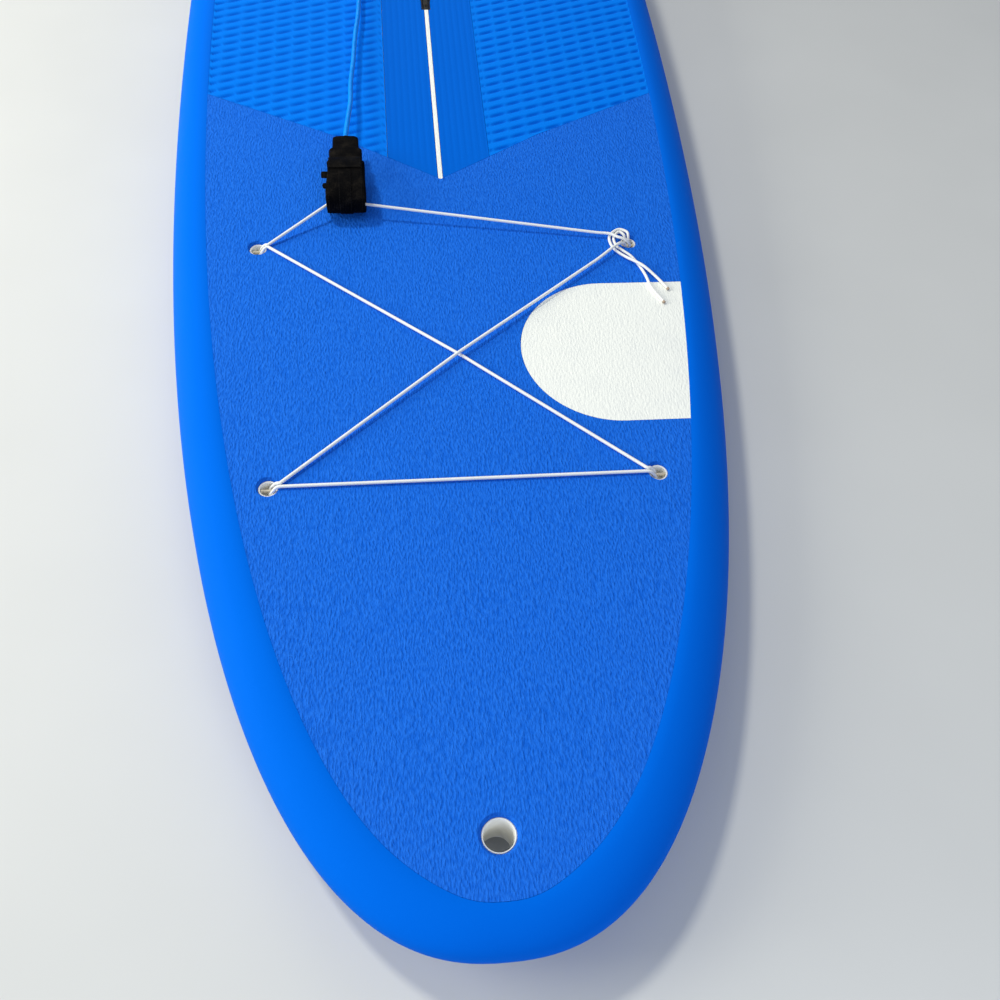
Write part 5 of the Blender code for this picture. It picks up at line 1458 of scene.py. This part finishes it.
saver_neck_seat = eye_seat @ Matrix.Translation((0, SAVER_LENGTH + GAP, NECK_THICK / 2))
sections = [
    (0.0, 0.0150, half * 0.8, -half * 0.15), (0.0015, 0.0166, half * 0.94),
    (0.0068, 0.0170, half * 0.99), (0.0082, 0.0166, half * 0.95), (0.0098, 0.0140, half * 0.92)]
for i in range(5):
    y = 0.0125 + 0.0042 * i
    sections += [(y, 0.0126, half * 0.88), (y + 0.0012, 0.0130, half * 0.93),
                 (y + 0.0024, 0.0130, half * 0.93), (y + 0.0034, 0.0126, half * 0.88)]
sections += [
    (0.0340, 0.0126, half * 0.88), (0.0353, 0.0122, half * 0.85), (0.0360, 0.0112, half * 0.78)]
saver_neck = barrel_form("rail_saver_collar", sections)
carve(saver_neck, swivel_bore(SAVER_NECK))
wear(saver_neck, moulded, "rail_saver_neck", seat=saver_neck_seat, smooth=60)

# %% Leash string, cup and pin
in_cup = (
    (4, -6, -3), (0, -5.4, -8), (0, 0, -12.6), (0, 5.4, -8), (-3, 6.4, -2), (-7.5, 1.5, 2.4),
    (-10, -10, 3.4))
by_eye = (
    (14.5, -14, 4), (16, 0, 5), (8, 0, 5), (0, 0, 5), (-8, 0, 5), (-16, 0, 5), (-14.5, -14, 4))
back = ((8.5, -20, 3.4), (6.5, -11, 1.6))
string_points = [seat @ (Vector(p) / 1000) for seat, part in (
    (plug_seat, in_cup), (eye_seat, by_eye), (plug_seat, back)) for p in part]
string_path = smooth_path(string_points, 0.0009, closed=True)
string_finish = spotted("black_braid", "webbing", (26, 27, 29), 0.65, (1.2,),
                        ((16, 17, 18), (48, 48, 48)), (0.35, 0.05, 0.6), {"Sheen Weight": 0.2})
sizes = {"Radius": 0.00145, "Relief": 0.00012, "Strand Pitch": 0.005}
line = polyline("string_line", string_path, closed=True)
string = grow("braided_leash_string", braid_tree, sizes, string_finish, line)
wear(tidy_mesh(string, 1e-7), string_finish, "leash_string", smooth=80)

steel = Finish("stainless", "steel", (176, 178, 182), 0.28, {"Metallic": 1.0})
brushed = steel.noise(0.6, 3.0, (1.0, 0.1, 1.0))
steel.paint(brushed, (160, 162, 166), (196, 198, 202), brushed * 0.3 + 0.15)
steel.bump(brushed, 0.01, 0.3)
leash_cup = pin_cup("leash_plug", radius=0.015, wall=0.002, floor=0.002, rim=0.0015, depth=0.022,
                    pin_radius=0.0025, pin_depth=0.008)
wear(leash_cup, moulded, "leash_cup", seat=plug_seat)
leash_pin = cross_pin("leash_plug_pin", 0.0025, half=0.0147, depth=0.008)
wear(leash_pin, steel, "leash_pin", seat=plug_seat)

# %% [markdown]
# ## Handle and vent
# The handle is a bar over a sunk cup, held by two screws. The bar has a rounded section that fits
# the hand, with finger ribs below. The air vent has a flange, a brass screw and a rubber ring.

# %% Handle
RECESS_DEPTH = 0.034
GRIP_HALVES = (0.005, 0.013)
GRIP_THICK = 0.009
SHELL = 0.0018
SCREW_INSET = 0.013
WELL_INSET = 0.030
GRIP_STEPS = 120
RIPPLE = 0.0004
RIPPLE_PITCH = 0.02
cup_plan = handle_outline(HANDLE_HALVES)
floor = DECK - RECESS_DEPTH
handle_cup = plan_stack("handle_well", [(cup_plan, floor), (cup_plan, DECK - RIM_DEPTH)])


def well_outline(steps=40):
    """Plan of the finger room, drawn in at both ends."""
    side = []
    for i in range(steps + 1):
        y = HANDLE_FRONT + WELL_INSET + (HANDLE_LENGTH - 2 * WELL_INSET) * i / steps
        ease = min(1.0, min(i, steps - i) / 4 + 0.55)
        end_half, middle_half = HANDLE_HALVES
        side.append(((end_half + (middle_half - end_half) * swell(y) - SHELL) * ease, y))
    return mirrored(side)


well = plan_stack("well", [(well_outline(), floor + SHELL), (well_outline(), DECK)])
bar_top = DECK - 0.0015
bar_low = bar_top - GRIP_THICK
channel_plan = handle_outline(GRIP_HALVES, GAP, 0.03)
channel = plan_stack("channel", [(channel_plan, bar_low - GAP), (channel_plan, DECK)])
carve(handle_cup, well, channel)
screw_places = {
    "front": Matrix.Translation((0, HANDLE_FRONT + SCREW_INSET, 0)),
    "rear": Matrix.Translation((0, HANDLE_FRONT + HANDLE_LENGTH - SCREW_INSET, 0)),
}
head_top = bar_top - GAP
head_low = head_top - 0.0025
for place in screw_places.values():
    carve(handle_cup, rod("drill", 0.002, 0.07, DECK, place, 24))
wear(handle_cup, moulded, "handle_cup", smooth=35)

grip_sections = []
for i in range(GRIP_STEPS + 1):
    y = HANDLE_FRONT + HANDLE_LENGTH * i / GRIP_STEPS
    ripple = RIPPLE * swell(y) * (0.5 + 0.5 * cos(2 * pi * (y - HANDLE_FRONT) / RIPPLE_PITCH))
    end = min(1.0, 0.86 + 0.14 * min(i, GRIP_STEPS - i) / 2)
    wide = GRIP_HALVES[0] + (GRIP_HALVES[1] - GRIP_HALVES[0]) * swell(y)
    grip_sections.append((y, wide * end - ripple, GRIP_THICK / 2 * end - ripple))
grip = barrel_form("handle_bar", grip_sections, 5.0, 40)
grip.data.transform(Matrix.Translation((0, 0, (bar_top + bar_low) / 2)))
sink = head_low - GAP
for place in screw_places.values():
    drill = turned("drill", [
        (0, DECK), (0.0038, DECK), (0.0038, sink), (0.002, sink), (0.002, 0.07), (0, 0.07),
    ], 0.0, 32)
    drill.data.transform(place)
    carve(grip, drill)
wear(grip, moulded, "handle_grip", smooth=45)


def bolt(name, head, shank, top, under, foot, key, ease=0.0003, sides=32):
    """Screw cut by a driver's key, from the heights of its head's two faces and of its foot."""
    screw = turned(name, [(0.0, top), (head, top), (head, under), (shank, under), (shank, foot),
                          (0.0, foot)], ease, sides)
    return carve(screw, key)


blackened = Finish("blackened_steel", "steel", (14, 14, 15), 0.5, {"Specular IOR Level": 0.2})
patina = blackened.noise(0.8, 3.0)
blackened.paint(patina, (9, 9, 10), (22, 22, 23), patina * 0.3 + 0.35)
blackened.bump(patina, 0.01, 0.3)
for name, place in screw_places.items():
    key = rod("key", 0.0035 * 0.55, head_top - 0.0014, 1.0, sides=6)
    screw = bolt(f"handle_bolt_{name}", head=0.0035, shank=0.0017, top=head_top, under=head_low,
                 foot=head_low - 0.020, key=key)
    wear(screw, blackened, f"handle_screw_{name}", seat=place)

# %% Vent
vent_top = 0.0022 - PAD
vent_floor = vent_top - 0.005
vent_body = turned("vent_housing", [
    (0.0, -0.020), (0.0033, -0.020), (0.0033, vent_floor), (0.0065, vent_floor), (0.0065, vent_top),
    (0.012, vent_top), (0.012, -PAD), (0.009, -PAD), (0.009, -0.022), (0.0, -0.022)], 0.0007, 56)
wear(vent_body, moulded, "vent_body", seat=vent_seat)
rubber = spotted("ring_rubber", "black_rubber", (17, 18, 19), 0.75, (1.5,),
                 ((13, 14, 15), (26, 26, 27)), (0.4, 0.04, 0.4))
ring_low = vent_floor + GAP
ring_high = ring_low + 0.0016
ring_turns = [2 * pi * i / 16 for i in range(16)]
ring_profile = [(0.0047 + 0.0013 * cos(t), (ring_low + ring_high) / 2 + 0.0008 * sin(t))
                for t in ring_turns]
vent_ring = ring_turned("vent_seal", ring_profile, 40)
wear(vent_ring, rubber, "vent_ring", seat=vent_seat, smooth=80)
brass = Finish("vent_brass", "brass", (190, 158, 88), 0.3, {"Metallic": 1.0})
tarnish = brass.noise(2.5, 3.0)
brass.paint(tarnish, (200, 168, 96), (158, 126, 64), tarnish * 0.3 + 0.18)
brass.bump(brass.noise(0.5), 0.02, 0.3)
head_low = ring_high + GAP
head_high = head_low + 0.0025
key = block("key", (-0.0062, -0.0007, head_high - 0.001), (0.0062, 0.0007, 1.0))
vent_screw = bolt("vent_plug_screw", head=0.0062, shank=0.003, top=head_high, under=head_low,
                  foot=head_low - 0.012, key=key, ease=0.0004, sides=48)
wear(vent_screw, brass, "vent_screw", body="vent_screw", seat=vent_seat)

# %% [markdown]
# ## Fin
# The fin is a glass-filled plastic foil, thick at its root and thin at its tip, that slides in a
# slotted box in the hull. Its sections shrink and sweep back by rule, so it is stacked from rings.

# %% Fin box
fin_seat = box_seat()
SLOT_LENGTH = 0.250


fin_box = centred("fin_track", BOX_WIDTH, BOX_LENGTH, 0.0, BOX_HEIGHT)
slot = centred("slot", 0.0096, SLOT_LENGTH, -1.0, 0.024)
channel = centred("channel", 0.015, SLOT_LENGTH - 2 * GAP, 0.0095, 0.0148)
notch = centred("notch", 0.015, 0.010, -1.0, 0.01215)
fin_box = rounded(carve(fin_box, slot, channel, notch), 0.0005)
wear(fin_box, moulded, "fin_box", seat=fin_seat, smooth=35)

# %% Fin
FIN_BASE = 0.165
FIN_EAR = 0.022
FIN_DEPTH = 0.180
FIN_SWEEP = 0.072
FIN_TIP_CHORD = 0.040
FIN_THICK = (0.009, 0.0035)
FIN_LEVELS = 28
composite = Finish("fin_composite", "black_plastic", (24, 25, 28), 0.3, {
    "Coat Weight": 0.3, "Coat Roughness": 0.2})
fibre = composite.noise(2.2, 4.0, (1.0, 1.0, 0.4))
strands = (fibre * 1.8 - 0.6).clamp()
composite.paint(strands, (17, 18, 20), (40, 41, 44), fibre * 0.25 + 0.22)
composite.bump(composite.noise(0.8, 3.0), 0.03, 0.4)
lean = tan(LEAN + fin_seat.to_euler().x)


def fin_ring(share, steps=18):
    front = -FIN_BASE / 2 + FIN_EAR
    rear = FIN_BASE / 2
    lead = front + (FIN_SWEEP - FIN_TIP_CHORD / 2 - front) * share ** 1.45
    trail = rear + (FIN_SWEEP + FIN_TIP_CHORD / 2 - rear) * share - 0.03 * sin(pi * share)
    thick = FIN_THICK[0] + (FIN_THICK[1] - FIN_THICK[0]) * share
    side = []
    for k in range(steps + 1):
        c = (k / steps) ** 1.4
        side.append((2 * thick * (sqrt(c) - c), lead + (trail - lead) * c))
    slope = lean if share == 1.0 else 0.0
    ring = side + [(-x, y) for x, y in side[-2:0:-1]]
    return [(x, y, -FIN_DEPTH * share - slope * (y - FIN_SWEEP)) for x, y in ring]


fin = stacked("fin_blade", [fin_ring(i / FIN_LEVELS) for i in range(FIN_LEVELS + 1)])
front, rear = -FIN_BASE / 2, FIN_BASE / 2
shoulder = front + FIN_EAR
profile = [(front, 0.004), (front, 0.009), (shoulder, 0.009), (shoulder, 0.020), (rear, 0.020),
           (rear, -GAP), (shoulder, -GAP), (shoulder, 0.004)]
half = FIN_THICK[0] / 2
tab = stacked("tab", [[(x, y, z) for y, z in profile] for x in (-half, half)])
carve(fin, tab, operation="UNION")
screw_place = Matrix.Translation((0, front + FIN_EAR / 2, 0))
pin_place = Matrix.Translation((0, rear - 0.015, 0.01215)) @ ACROSS
drill = rod("drill", 0.0023, 0.0, 0.024, screw_place, 24)
pin_drill = rod("pin_drill", 0.00255, -0.009, 0.009, pin_place, 24)
carve(fin, drill, pin_drill)
wear(fin, composite, "fin", body="fin", seat=fin_seat, smooth=35)
fin_pin = rod("fin_cross_pin", 0.00225, -0.0072, 0.0072, sides=28, ease=0.0004)
wear(fin_pin, steel, "fin_pin", body="fin", seat=fin_seat @ pin_place)
screw_seat = fin_seat @ screw_place
plate = centred("fin_nut_plate", 0.0144, 0.016, 0.0098, 0.0128)
plate = rounded(carve(plate, rod("drill", 0.0023, 0.0, 0.024, sides=24)), 0.0004)
wear(plate, steel, "fin_plate", body="fin", seat=screw_seat, smooth=35)
head_high, head_low = 0.0037, 0.0007
key = block("key", (-0.004, -0.0007, -1.0), (0.004, 0.0007, head_low + 0.001))
fin_screw = bolt("fin_bolt", head=0.004, shank=0.002, top=head_low, under=head_high,
                 foot=0.0131, key=key)
wear(fin_screw, steel, "fin_screw", body="fin_screw", seat=screw_seat)

# %% [markdown]
# ## What stays from the CAD model
# The core, the stringer, the inner skin and the swivels keep their CAD shapes, because they are
# hidden or already right. Each still gets a finish of its own.

# %% Kept nodes
eps = Finish("bead_foam", None, (238, 238, 232), 0.85)
bead = eps.cells(3.6)
eps.paint((bead * 1.5).clamp(), (244, 244, 240), (218, 218, 210))
eps.bump(1.0 - bead, 0.4, 0.6)
wood = Finish("stringer_wood", None, (186, 146, 98), 0.6)
rings = wood.noise(3.0, 4.0, (1.0, 0.04, 1.0))
wood.paint((rings * 2.0 - 0.5).clamp(), (200, 164, 116), (150, 112, 70))
wood.bump(rings, 0.08, 0.5)
laminate = Finish("inner_skin", None, (222, 226, 222), 0.4)
cloth = laminate.noise(1.5, 3.0)
laminate.paint(cloth, (228, 231, 227), (206, 211, 206))
laminate.bump(cloth, 0.05, 0.4)
KEPT = {
    eps: ["eps_core_port", "eps_core_starboard", "nose_block"],
    wood: ["stringer"],
    laminate: ["deck_skin"],
    moulded: ["cuff_swivel", "rail_saver_swivel"],
    steel: ["cuff_swivel_pin", "rail_saver_swivel_pin"],
}
for finish, names in KEPT.items():
    for name in names:
        coat(nodes[name], finish, 35)
print("kept nodes:", sum(len(names) for names in KEPT.values()))

# %% Floor
floor_finish = Finish("pale_floor", None, (214, 214, 212), 0.7)
floor_finish.paint(floor_finish.noise(400, 3.0), (208, 208, 206), (220, 220, 218))
corners = ((-1, -1), (1, -1), (1, 1), (-1, 1))
points = [(FLOOR_HALF * x, FLOOR_HALF * y, 0) for x, y in corners]
ground = from_points("ground", points, [(0, 1, 2, 3)])
ground.data.materials.append(floor_finish.material)
